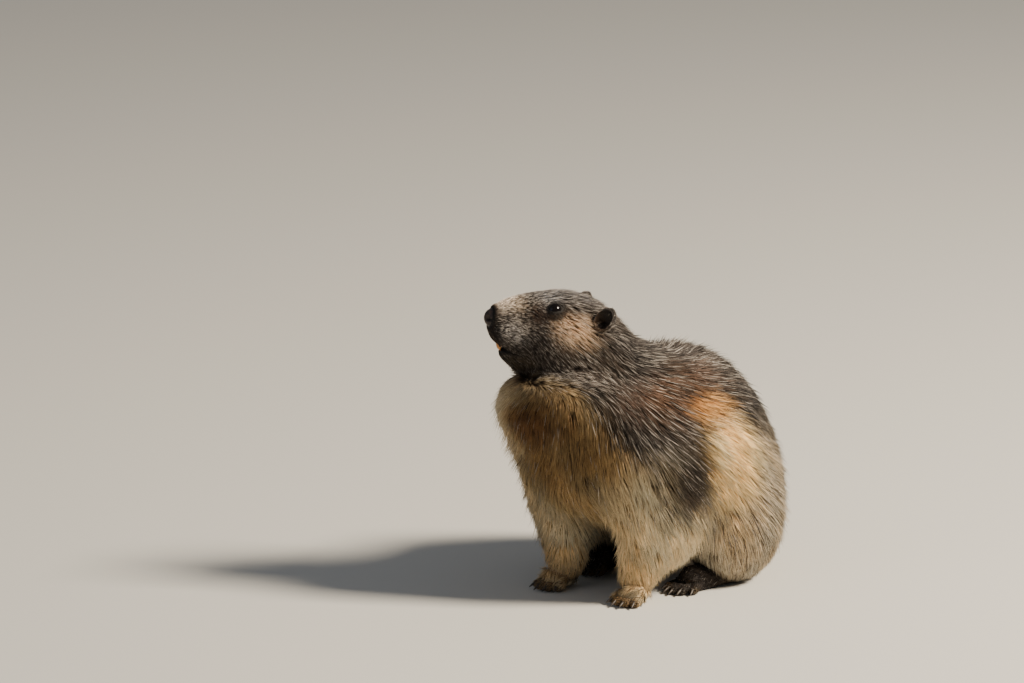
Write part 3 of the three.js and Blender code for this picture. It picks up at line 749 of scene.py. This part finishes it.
def hollowEars(p):
    radiusAcross, radiusUp, _ = head["earRadii"]
    rimAcross, rimUp = earCup["rim"]
    canalAcross, canalUp = earCup["canal"]
    for ear in ears.values():
        q = within(ear, p)
        x, y = q[:, 0], q[:, 1]
        ring = np.hypot(x / (radiusAcross - rimAcross), (y + earCup["down"]) / (radiusUp - rimUp))
        inside = (ring < 1) & (q[:, 2] > -1)
        floor = earCup["edge"] - earCup["depth"] * np.sqrt(np.maximum(1 - ring ** 2, 0))
        canal = np.exp(-((x / canalAcross) ** 2 + ((y + earCup["canalDown"]) / canalUp) ** 2))
        q[:, 2] = np.where(inside, np.minimum(q[:, 2], floor - canal * earCup["canalDepth"]), q[:, 2])
        p = ear["centre"] + q @ ear["turn"].T
    return p


def features(p):
    p, bare, dark = drawLids(*cutMouth(p))
    p = hollowEars(p)
    p[:, 2] = np.maximum(p[:, 2], 0)
    return p, bare, dark


skinMesh, (skinPoints, skinBare, skinDarkAndShade) = shapedSkin()
print("skin shaped", len(skinPoints))


def tintedByCoat(material, shader, perMetre, detail, low, high):  # the coat's colours, varied by noise
    place = addNode(material, "ShaderNodeTexCoord")
    noise = addNode(material, "ShaderNodeTexNoise", {"Vector": place.outputs["Object"]},
                    Scale=perMetre, Detail=detail)
    shade = addNode(material, "ShaderNodeMapRange", {"Value": noise.outputs["Fac"]},
                    **{"To Min": low, "To Max": high})
    colour = addNode(material, "ShaderNodeAttribute", attribute_name="coatColour")
    links = {0: colour.outputs["Color"], "Scale": shade.outputs["Result"]}
    tinted = addNode(material, "ShaderNodeVectorMath", links, operation="SCALE")
    material.node_tree.links.new(tinted.outputs["Vector"], shader.inputs["Base Color"])
    return noise


def roughenedBy(material, shader, height, strength, depth):
    bump = addNode(material, "ShaderNodeBump", {"Height": height}, Strength=strength, Distance=depth)
    material.node_tree.links.new(bump.outputs["Normal"], shader.inputs["Normal"])


# Skin under the coat: dull hide with the coat's own colours, in spots of 1.4 mm, one tuft's width
hide, hideShader = addMaterial("marmot_hide", Roughness=0.8, IOR=1.4)
hideSpots = tintedByCoat(hide, hideShader, 700, 4, 0.55, 1.25)
roughenedBy(hide, hideShader, hideSpots.outputs["Fac"], 0.6, 0.0008)


def setColours(mesh, colours):
    attribute = mesh.color_attributes.new("coatColour", "FLOAT_COLOR", "POINT")
    attribute.data.foreach_set("color", np.c_[colours, np.ones(len(colours))].astype(np.float32).ravel())


def setPoints(mesh, p):
    mesh.vertices.foreach_set("co", toScene(p).astype(np.float32).ravel())


setPoints(skinMesh, skinPoints)
skinMesh.update()
skinObject = addObject("skin", skinMesh, hide)
smoothShaded(skinMesh)
skinUnder, skinHair, _, _ = markingsAndPaintedLight(skinPoints)
# bare skin colour where dark, which includes the painted shade along the mouth line
setColours(skinMesh, mix(mix(skinUnder, skinHair, 0.35), colourOf("bareSkinAndShade"), skinDarkAndShade[:, None]))


def unwrapSkin():
    skinMesh.uv_layers.new(name="OFBake")
    bpy.context.view_layer.objects.active = skinObject
    skinObject.select_set(True)
    bpy.ops.object.mode_set(mode="EDIT")
    bpy.ops.mesh.select_all(action="SELECT")
    bpy.ops.uv.smart_project(angle_limit=math.radians(70), island_margin=0.002)
    bpy.ops.object.mode_set(mode="OBJECT")
    skinObject.select_set(False)


unwrapSkin()
print("skin unwrapped")

# The coat: closed three-sided tufts, rooted in the skin, bent once and laid along it
fur = {
    "tufts": 146000,
    "perPiece": 19500,
    "seed": 11,
    "clump": 15,  # tufts to a lock
    "muzzleDense": 4.2, "napeDense": 1.9,  # against 1 on the trunk
    "alongHead": (10, 90), "behindHead": (-10, 40),
    "feetDense": 2.2, "aboveFloor": (3, 30),
    "bareLength": (2.3, 4.0), "wristLength": 12.0, "toeLength": 3.8,
    "lengthPerDepth": 2.0, "lengthMore": 2.6, "tailMore": 9,
    "width": 0.42, "widthPerLength": 0.024, "bareWidth": 0.6,
    "thickness": 0.45,  # of a tuft, against its width
    "rooted": 0.9,  # how deep in the skin
    "bend": 0.45,  # how far along it bends
    "bareLift": 0.8,  # how far hair stands off where it lies free on feet, lids and ears
    "stray": 0.1, "strayLift": (0.0, 0.35), "chestStrays": 1.4, "chest": (-140, -110),
    "lift": (-0.28, 0.06),  # of the tips, as a share of the coat's depth
    "lockTurn": 0.2, "tuftTurn": 0.13,
    "pull": (0.15, 0.6), "facePull": (0.05, 0.4), "lockWidth": 12,
    "brush": (8, 27), "brushSpread": 3.5, "brushDrop": 6,
    "paleEnds": 0.32,
}


def skinTriangles():
    skinMesh.calc_loop_triangles()
    count = len(skinMesh.loop_triangles)
    verts, loops = np.empty(count * 3, np.int32), np.empty(count * 3, np.int32)
    skinMesh.loop_triangles.foreach_get("vertices", verts)
    skinMesh.loop_triangles.foreach_get("loops", loops)
    uv = np.empty(len(skinMesh.loops) * 2, np.float32)
    skinMesh.uv_layers["OFBake"].data.foreach_get("uv", uv)
    return verts.reshape(-1, 3), uv.reshape(-1, 2)[loops.reshape(-1, 3)]


def hairGrows(p):  # 0 on the soles, on the nose pad and down in each ear
    grows = np.ones(len(p))
    grows[noseDistance(p) < -0.5] = 0
    grows[p[:, 2] < 1.2] = 0
    for ear in ears.values():
        q = within(ear, p)
        canal = np.hypot(q[:, 0] / 3, (q[:, 1] + earCup["canalDown"]) / 3.6) < 1
        grows[canal & (q[:, 2] > -8) & (q[:, 2] < 3)] = 0
    return grows


def furRoots(draw):
    verts, uv = skinTriangles()
    corners = skinPoints[verts]
    middle = corners.mean(axis=1)
    area = np.linalg.norm(np.cross(corners[:, 1] - corners[:, 0], corners[:, 2] - corners[:, 0]), axis=1) / 2
    back, _, _ = toHead(middle)
    onHead = 1 - smoothStep(pastHead(middle), *fur["behindHead"])
    faceDense = mix(fur["muzzleDense"], fur["napeDense"], smoothStep(back, *fur["alongHead"]))
    low = 1 - smoothStep(middle[:, 2], *fur["aboveFloor"])
    dense = mix(mix(1.0, faceDense, onHead), fur["feetDense"], low * (1 - onHead))
    weight = area * dense * hairGrows(middle) * (skinBare[verts].mean(axis=1) < 0.5)
    total = np.cumsum(weight)
    pick = (np.arange(fur["tufts"]) + draw.random(fur["tufts"])) * total[-1] / fur["tufts"]
    chosen = np.minimum(np.searchsorted(total, pick), len(total) - 1)
    a, b = draw.random((2, fur["tufts"]))
    a, b = np.where(a + b > 1, 1 - a, a), np.where(a + b > 1, 1 - b, b)
    share = np.stack([1 - a - b, a, b], axis=1)[:, :, None]
    return np.sum(corners[chosen] * share, axis=1), np.sum(uv[chosen] * share, axis=1)


def nearestCentre(roots, every):
    centres = np.arange(0, len(roots), every)
    tree = kdtree.KDTree(len(centres))
    for n, index in enumerate(centres):
        tree.insert(roots[index], n)
    tree.balance()
    return centres[[tree.find(root)[1] for root in roots]]


def settledOn(p, wanted, most):  # moved to where the coat has this level
    for _ in range(2):
        value, g = valueAndSlope(coat, p)
        reach = (wanted - value) / np.maximum(lengths(g), 0.4)
        p = p + unit(g) * np.clip(reach, -most, most)[:, None]
    return p


def patches(p, size, seed):  # soft random patches of about this size in mm, from -1 to 1
    draw = np.random.default_rng(seed)
    waves = 7
    total = np.zeros(len(p))
    for _ in range(waves):
        way = unit(draw.normal(size=3)) * 2 * math.pi / size * draw.uniform(0.6, 1.5)
        total += np.sin(p @ way + draw.uniform(0, 6.28) + 0.8 * np.sin(p @ np.roll(way, 1)))
    return total / waves * 1.6


def furGround(draw):  # the roots, and what kind of ground each stands on
    roots, uv = furRoots(draw)
    order = draw.permutation(len(roots))
    roots, uv = roots[order], uv[order]
    outside = coat(roots)
    depth = coatDepth(roots)
    onFoot = smoothStep(outside + depth, 0.9, 2.4) * (roots[:, 2] < 34)
    inEar = 1 - smoothStep(earDistance(roots), 0.1, 1.2)
    onLid = smoothStep(outside, 0.1, 0.8) * (eyeDistance(roots) < 11)
    short = np.maximum(inEar, onLid)
    bare = np.maximum(onFoot, short)
    skinOut = unit(slope(skinField, roots))
    fromEnd = roots - tailPath[-1]
    endWay = unit(tailPath[-1] - tailPath[-2])
    return {
        "roots": roots, "uv": uv, "centre": nearestCentre(roots, fur["clump"]), "endWay": endWay,
        "skinOut": skinOut, "out": unit(mix(unit(slope(coat, roots)), skinOut, bare[:, None])),
        "outside": outside, "depth": depth, "onFoot": onFoot, "short": short,
        "bare": bare, "free": bare > 0.5,
        "face": 1 - smoothStep(pastHead(roots), -40, 30),
        "onTail": smoothStep(bodyField(roots) - tailField(roots), *coatDepths["ontoTail"]),
        "atEnd": smoothStep(fromEnd @ endWay, -26, 2) * (lengths(fromEnd) < 40),
    }


def tuftWays(draw, ground):
    out, count = ground["out"], len(ground["roots"])
    toToes = np.array([0, -1, -0.3])
    ahead = toToes - out * (out @ toToes)[:, None]
    way = unit(mix(lieOfCoat(ground["roots"], out), unit(ahead), ground["onFoot"][:, None]))
    turnBy = draw.normal(0, fur["lockTurn"], count)[ground["centre"]] * mix(1, 0.5, ground["face"])
    turnBy += draw.normal(0, fur["tuftTurn"], count)
    return unit(way + np.cross(way, out) * turnBy[:, None])


def tuftLengths(draw, ground):
    count = len(ground["roots"])
    length = fur["lengthPerDepth"] * ground["depth"] + fur["lengthMore"] + fur["tailMore"] * ground["onTail"]
    length = length * draw.uniform(0.8, 1.2, count) * draw.uniform(0.85, 1.15, count)[ground["centre"]]
    footLength = mix(fur["wristLength"], fur["toeLength"], smoothStep(ground["outside"], 0, 9))
    length = mix(length, footLength * draw.uniform(0.8, 1.2, count), ground["onFoot"])
    return mix(length, draw.uniform(*fur["bareLength"], count), ground["short"])


def bentTufts(draw, ground, way, length):  # root, bend and tip of each, and which ones stray
    roots, out, free, depth = (ground[key] for key in ("roots", "out", "free", "depth"))
    count = len(roots)
    standing = np.where(free, fur["bareLift"], depth)
    stray = draw.random(count) < fur["stray"]
    chest = 1 - smoothStep(roots[:, 1], *fur["chest"])
    higher = 1 + fur["chestStrays"] * chest * (1 - ground["face"])
    strayLift = draw.uniform(*fur["strayLift"], count) * higher
    lift = np.where(stray, strayLift, draw.uniform(*fur["lift"], count)) * standing
    root = roots - ground["skinOut"] * fur["rooted"]
    mid = roots + way * (length * fur["bend"])[:, None] + out * (standing * 0.4)[:, None]
    mid = np.where(free[:, None], mid, settledOn(mid, -0.42 * depth, 6))
    outMid = unit(slope(coat, mid))
    carried = way - np.sum(way * outMid, axis=1)[:, None] * outMid
    wayMid = unit(lieOfCoat(mid, outMid) + 0.9 * carried)
    wayMid = np.where(free[:, None], unit(mid - roots), wayMid)
    tip = mid + wayMid * (length * (1 - fur["bend"]))[:, None]
    tip = np.where(free[:, None], tip - out * 0.2, settledOn(tip, lift, 8))
    return root, mid, tip, stray


def brushedEnd(draw, ground, mid, tip):  # the end of the tail draws out into a brush
    roots, endWay, atEnd = ground["roots"], ground["endWay"], ground["atEnd"][:, None]
    count = len(roots)
    brush = tailPath[-1] + endWay * draw.uniform(*fur["brush"], count)[:, None]
    brush = brush + draw.normal(0, fur["brushSpread"], (count, 3))
    brush[:, 2] -= fur["brushDrop"]
    tip = mix(tip, mix(roots + endWay * 16, brush, 0.6), atEnd)
    return mix(mid, mix(roots, tip, fur["bend"]) + ground["out"] * 1.5, atEnd), tip


def drawnIntoLocks(draw, ground, mid, tip, stray):
    roots, centre, free = ground["roots"], ground["centre"], ground["free"]
    count = len(roots)
    pull = mix(draw.uniform(*fur["pull"], count), draw.uniform(*fur["facePull"], count), ground["face"])
    apart = lengths(roots - roots[centre]) > fur["lockWidth"]
    loose = stray | free | free[centre] | apart | (ground["atEnd"] > 0.3)
    pull = np.where(loose, 0, pull)[:, None]
    return mix(mid, mid[centre], pull * 0.4), mix(tip, tip[centre], pull)


def clearOfEyes(roots, point):  # none lies across an eye
    for eye in eyes.values():
        q = within(eye, point)
        over = (eyeRing(q, eye["side"]) < 1.08) & (q[:, 2] > 0)
        point[over] = roots[over] + (point[over] - roots[over]) * 0.2


# the hollow share marks where painted shade darkens the hair deep in each ear
def bowlShares(p):  # low in the hollow of an ear, and on its upper lining
    hollow, lining = np.zeros(len(p)), np.zeros(len(p))
    for ear in ears.values():
        q = within(ear, p)
        ring = np.hypot(q[:, 0] / 5.8, (q[:, 1] + earCup["down"]) / 8.2)
        inside = (1 - smoothStep(ring, 0.75, 1.05)) * (q[:, 2] > -6) * (q[:, 2] < 4.5)
        low = 1 - smoothStep(q[:, 1], -4, 3)
        hollow = np.maximum(hollow, inside * low)
        lining = np.maximum(lining, inside * (1 - low))
    return hollow, lining


def tuftColours(draw, ground, tip):  # at the root, the bend and the tip
    roots, count = ground["roots"], len(ground["roots"])
    under, hair, end, grizzle = markingsAndPaintedLight(mix(roots, tip, 0.3))
    dark, pale, earLining = (colourOf(key) for key in ("dark", "pale", "earLining"))
    grizzled = (draw.random(count) < grizzle)[:, None]
    paleEnd = (draw.random(count) < fur["paleEnds"])[:, None]
    tone = draw.normal(1, 0.14, count) * draw.normal(1, 0.12, count)[ground["centre"]]
    tone = tone * (1 + 0.16 * patches(roots, 55, 3) + 0.08 * patches(roots, 16, 4))
    tone = np.clip(tone, 0.45, 1.7)[:, None]
    warmer = patches(roots, 40, 5)
    warm = np.stack([1 + 0.1 * warmer, np.ones(count), 1 - 0.14 * warmer], axis=1)
    hair = np.where(grizzled, mix(hair, dark, 0.75), hair) * tone * warm
    end = np.where(grizzled, np.where(paleEnd, mix(end, pale, 0.8), mix(hair, dark, 0.7)), end * warm) * tone
    under = under * tone * warm
    hollow, lining = (share[:, None] for share in bowlShares(roots))
    # painted shade: hair low in each ear's hollow darkened; the upper lining keeps its own paler colour
    hair = mix(mix(hair, earLining, lining * 0.8), dark, hollow * 0.7)
    end = mix(mix(end, earLining * 1.5, lining * 0.8), dark, hollow * 0.5)
    nearEye = ((1 - smoothStep(eyeDistance(roots), 6.5, 9)) * ground["face"])[:, None]
    return mix(under, dark, nearEye), mix(hair, dark, nearEye * 0.9), mix(end, dark, nearEye * 0.8)


def growCoat():
    draw = np.random.default_rng(fur["seed"])
    ground = furGround(draw)
    count = len(ground["roots"])
    way = tuftWays(draw, ground)
    length = tuftLengths(draw, ground)
    root, mid, tip, stray = bentTufts(draw, ground, way, length)
    mid, tip = brushedEnd(draw, ground, mid, tip)
    mid, tip = drawnIntoLocks(draw, ground, mid, tip, stray)
    # above the floor, even where the coat lies on it
    tip[:, 2] = np.maximum(tip[:, 2], draw.uniform(1.0, 4.0, count))
    mid[:, 2] = np.maximum(mid[:, 2], 1.2)
    root[:, 2] = np.maximum(root[:, 2], 1.0)
    for point in (mid, tip):
        clearOfEyes(ground["roots"], point)
    width = mix(fur["width"] + fur["widthPerLength"] * length, fur["bareWidth"], ground["bare"])
    width = width * draw.uniform(0.7, 1.3, count) * mix(1, 0.8, ground["face"])
    colours = np.stack(tuftColours(draw, ground, tip), axis=1)
    return {"root": root, "mid": mid, "tip": tip, "out": ground["out"], "width": width, "uv": ground["uv"],
            "colours": colours}


# Marmot hair: guard hairs in tufts, dull and a little glossy along their length, in patches of 6 mm
guardHair, hairShader = addMaterial("marmot_hair", Roughness=0.65, IOR=1.55, **{"Specular IOR Level": 0.22})
tintedByCoat(guardHair, hairShader, 160, 3, 0.8, 1.2)

# One tuft: rings of three points at its root and its bend, and a tip
ringAngles = [math.radians(angle) for angle in (90, 210, 330)]  # the ridge faces out
tuftFaces = [(2, 1, 0), (0, 1, 4, 3), (1, 2, 5, 4), (2, 0, 3, 5), (3, 4, 6), (4, 5, 6), (5, 3, 6)]
tuftLoops = np.array([v for face in tuftFaces for v in face])
tuftPatch = 0.0015 * np.array([(-1, -1), (0, -1), (1, -1), (-0.7, 0.2), (0, 0.2), (0.7, 0.2), (0, 1)])


def tuftPoints(tufts):
    root, mid, tip, out = (tufts[key] for key in ("root", "mid", "tip", "out"))
    points = np.empty((len(root), 7, 3))
    for ring, (centre, ahead, scale) in enumerate(((root, mid - root, 0.8), (mid, tip - root, 1.0))):
        across = unit(np.cross(ahead, out))
        over = unit(np.cross(across, ahead))
        for corner, angle in enumerate(ringAngles):
            side = math.cos(angle) * across
            rise = math.sin(angle) * over * fur["thickness"]
            points[:, ring * 3 + corner] = centre + (side + rise) * (tufts["width"] * scale / 2)[:, None]
    points[:, 6] = tip
    return points.reshape(-1, 3)


def coatPiece(name, tufts):
    count = len(tufts["root"])
    loops = (np.arange(count)[:, None] * 7 + tuftLoops).ravel()
    starts = np.r_[0, np.cumsum(np.tile([len(face) for face in tuftFaces], count))[:-1]]
    mesh = bpy.data.meshes.new(name)
    mesh.vertices.add(count * 7)
    setPoints(mesh, tuftPoints(tufts))
    mesh.loops.add(len(loops))
    mesh.loops.foreach_set("vertex_index", loops.astype(np.int32))
    mesh.polygons.add(len(starts))
    mesh.polygons.foreach_set("loop_start", starts.astype(np.int32))
    mesh.update(calc_edges=True)
    smoothShaded(mesh)
    setColours(mesh, tufts["colours"][:, [0, 0, 0, 1, 1, 1, 2]].reshape(-1, 3))
    uv = (np.clip(tufts["uv"], 0.002, 0.998)[:, None] + tuftPatch)[:, tuftLoops]
    mesh.uv_layers.new(name="OFBake").data.foreach_set("uv", uv.astype(np.float32).ravel())
    return addObject(name, mesh, guardHair)


def coatPieces(tufts):  # from the chest to the tail
    order = np.argsort(tufts["root"][:, 1])
    made = []
    for n, chosen in enumerate(np.array_split(order, math.ceil(len(order) / fur["perPiece"]))):
        made.append(coatPiece("coat_%d" % (n + 1), {key: value[chosen] for key, value in tufts.items()}))
    return made


coatObjects = coatPieces(growCoat())
print("coat grown in", len(coatObjects), "pieces")

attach(skinObject, "root")
fleshNodes = ["head", "neck", "torso", "tail", "ear_left", "ear_right",
              "front_left_leg", "front_right_leg", "hind_left_leg", "hind_right_leg",
              "front_left_paw", "front_right_paw", "hind_left_foot", "hind_right_foot"]
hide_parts(*fleshNodes)
for piece in coatObjects:
    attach(piece, "root")

wetEye, _ = addMaterial("wet_dark_eye", "#0c0807", Roughness=0.07, IOR=1.34)  # brown-black, with a wet shine


def smoothPiece(bm, name, material):
    mesh = meshFrom(bm, name)
    smoothShaded(mesh)
    return addObject(name, mesh, material)


for name, eye in eyes.items():
    bm = bmesh.new()
    turn = Matrix(eye["turn"].tolist()).to_4x4()
    place = Matrix.Translation(Vector(toScene(eye["centre"]))) @ turn
    bmesh.ops.create_uvsphere(bm, u_segments=40, v_segments=24, radius=head["eyeRadius"] / 1000, matrix=place)
    piece = smoothPiece(bm, "eyeball_" + name, wetEye)
    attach(piece, "root")
    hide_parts("eye_" + name)

# Moist nose leather in pebbles of 0.6 mm, as on a dog's nose
noseLeather, noseShader = addMaterial("moist_nose_leather", "#2a201d", Roughness=0.45, IOR=1.4)
noseAt = addNode(noseLeather, "ShaderNodeTexCoord")
nosePebbles = addNode(noseLeather, "ShaderNodeTexVoronoi", {"Vector": noseAt.outputs["Object"]}, Scale=1800)
roughenedBy(noseLeather, noseShader, nosePebbles.outputs["Distance"], 0.5, 0.0002)
nosePad = {
    "radii": (8.4, 7.9, 8.2),  # back, across and up
    "holeDeep": 0.6, "slitDeep": 0.22,
    "furrowDeep": 0.14, "furrowWidth": 0.07,
}


def addNose():
    bm = bmesh.new()
    bmesh.ops.create_icosphere(bm, subdivisions=5, radius=1)
    deep, wide, high = nosePad["radii"]
    for vertex in bm.verts:
        x, y, z = vertex.co  # left, back, up
        for _, side in sides:
            hole = math.hypot((x * side - 0.5) / 0.2, (z + 0.02) / 0.24)
            slit = math.hypot((x * side - 0.8) / 0.34, (z - 0.28 * (x * side - 0.5) + 0.22) / 0.13)
            if y < 0.3:
                vertex.co += Vector((0, nosePad["holeDeep"], 0)) * math.exp(-hole ** 4)
                vertex.co -= Vector((x, y, z)) * nosePad["slitDeep"] * math.exp(-slit ** 2)
        if y < 0 and z < 0.1:
            vertex.co += Vector((0, nosePad["furrowDeep"], 0)) * math.exp(-(x / nosePad["furrowWidth"]) ** 2)
        at = headPoint(nose["back"] + vertex.co.y * deep, vertex.co.x * wide, nose["up"] + vertex.co.z * high)
        vertex.co = toScene(at)
    piece = smoothPiece(bm, "nose_pad", noseLeather)
    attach(piece, "root")
    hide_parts("nose")


addNose()

enamel, _ = addMaterial("tooth_enamel", "#b8772f", Roughness=0.3, IOR=1.62)  # orange, as in all marmots
incisors = {  # back and up of the root and the edge, bend forward, half width and half depth
    "upper_incisors": {"root": (15.9, -15), "edge": (15.4, -24.2), "bend": 1.1, "half": (1.5, 2.2)},
    "lower_incisors": {"root": (24.5, -31), "edge": (19.8, -22.6), "bend": 0.8, "half": (1.3, 1.3)},
}
incisorBevel = 0.55  # how much thinner the biting edge is than the root
incisorGap = 0.1


def addIncisors(node, tooth):
    bm = bmesh.new()
    root, edge = np.array(tooth["root"]), np.array(tooth["edge"])
    wide, deep = tooth["half"]
    for _, side in sides:
        made = bmesh.ops.create_uvsphere(bm, u_segments=16, v_segments=16, radius=1)["verts"]
        for vertex in made:
            x, y, z = vertex.co
            t = (z + 1) / 2  # from root to edge
            full = max(math.hypot(x, y), 1e-6) ** -0.7  # nearly even thickness, with rounded ends
            back, up = mix(root, edge, t)
            back += y * full * deep * (1 - incisorBevel * t ** 4) - tooth["bend"] * math.sin(math.pi * t)
            vertex.co = toScene(headPoint(back, side * (wide + incisorGap) + x * full * wide, up))
    bmesh.ops.recalc_face_normals(bm, faces=bm.faces)
    piece = smoothPiece(bm, node + "_enamel", enamel)
    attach(piece, "root")
    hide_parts(node)


for node, tooth in incisors.items():
    addIncisors(node, tooth)

horn, _ = addMaterial("claw_horn", "#3a322c", Roughness=0.5, IOR=1.54)  # worn, so only faintly glossy
claw = {"radius": 1.7, "flat": 0.8, "length": 8.5, "drop": 3.2, "above": 0.4, "into": 0.2}
upward = np.array([0, 0, 1])


def clawPoint(foot, x, y, co):  # a round stub drawn out to a point and bent down
    root = np.array(toeRoot(foot, x))
    way = unit(np.array([x - root[0], y - root[1], 0]))
    across = np.cross(way, upward)
    t = (co.z + 1) / 2  # from root to point
    thick = claw["radius"] * math.sqrt(max(1 - t, 0)) * (1 if t > 0.02 else 0.5)
    if abs(co.z) > 0.999:
        thick = 0
    angle = math.atan2(co.y, co.x)
    start = np.array([x, y, foot["toe"] + claw["above"]])
    axis = start + way * (foot["toe"] * claw["into"] + t * claw["length"]) - upward * claw["drop"] * t * t
    return axis + (across * math.cos(angle) * claw["flat"] + upward * math.sin(angle)) * thick


def addClaws(end, name, side):
    bm = bmesh.new()
    for x, y in feet[end]["toes"]:
        made = bmesh.ops.create_uvsphere(bm, u_segments=12, v_segments=12, radius=1)["verts"]
        for vertex in made:
            point = clawPoint(feet[end], x, y, vertex.co)
            point[2] = max(point[2], 0)
            vertex.co = toScene(onSide(side, point))
    bmesh.ops.recalc_face_normals(bm, faces=bm.faces)
    piece = smoothPiece(bm, "claws_%s_%s" % (end, name), horn)
    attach(piece, "root")


for end in feet:
    for name, side in sides:
        addClaws(end, name, side)
print("eyes, nose, teeth and claws made")

# Pale paper floor, one soft key light from behind the animal's left and a weak fill from the front
studio = {
    "floorSize": 6, "floor": "#c9c7c2", "sky": "#dfe4ea", "skyStrength": 0.26, "aim": (0, 0, 0.12),
    "lights": {
        "key": {"at": (2.45, 1.05, 2.4), "size": 0.8, "power": 370, "colour": "#fff0d8"},
        "fill": {"at": (-0.6, -3.0, 1.6), "size": 2.0, "power": 8, "colour": "#e8eefc"},
    },
}


def addStudio():
    bm = bmesh.new()
    bmesh.ops.create_grid(bm, x_segments=1, y_segments=1, size=studio["floorSize"])
    paper, _ = addMaterial("backdrop_paper", studio["floor"], Roughness=0.9)
    floor = addObject("floor", meshFrom(bm, "floor"), paper)
    world = bpy.data.worlds.new("studio")
    bpy.context.scene.world = world
    world.use_nodes = True
    sky = world.node_tree.nodes["Background"]
    sky.inputs["Color"].default_value = (*linear(studio["sky"]), 1)
    sky.inputs["Strength"].default_value = studio["skyStrength"]
    for name, lamp in studio["lights"].items():
        data = bpy.data.lights.new(name, "AREA")
        data.size = lamp["size"]
        data.energy = lamp["power"]
        data.color = linear(lamp["colour"])
        light = bpy.data.objects.new(name, data)
        light.location = lamp["at"]
        light.rotation_euler = (Vector(studio["aim"]) - light.location).to_track_quat("-Z", "Y").to_euler()
        bpy.context.scene.collection.objects.link(light)


addStudio()
print("studio set")
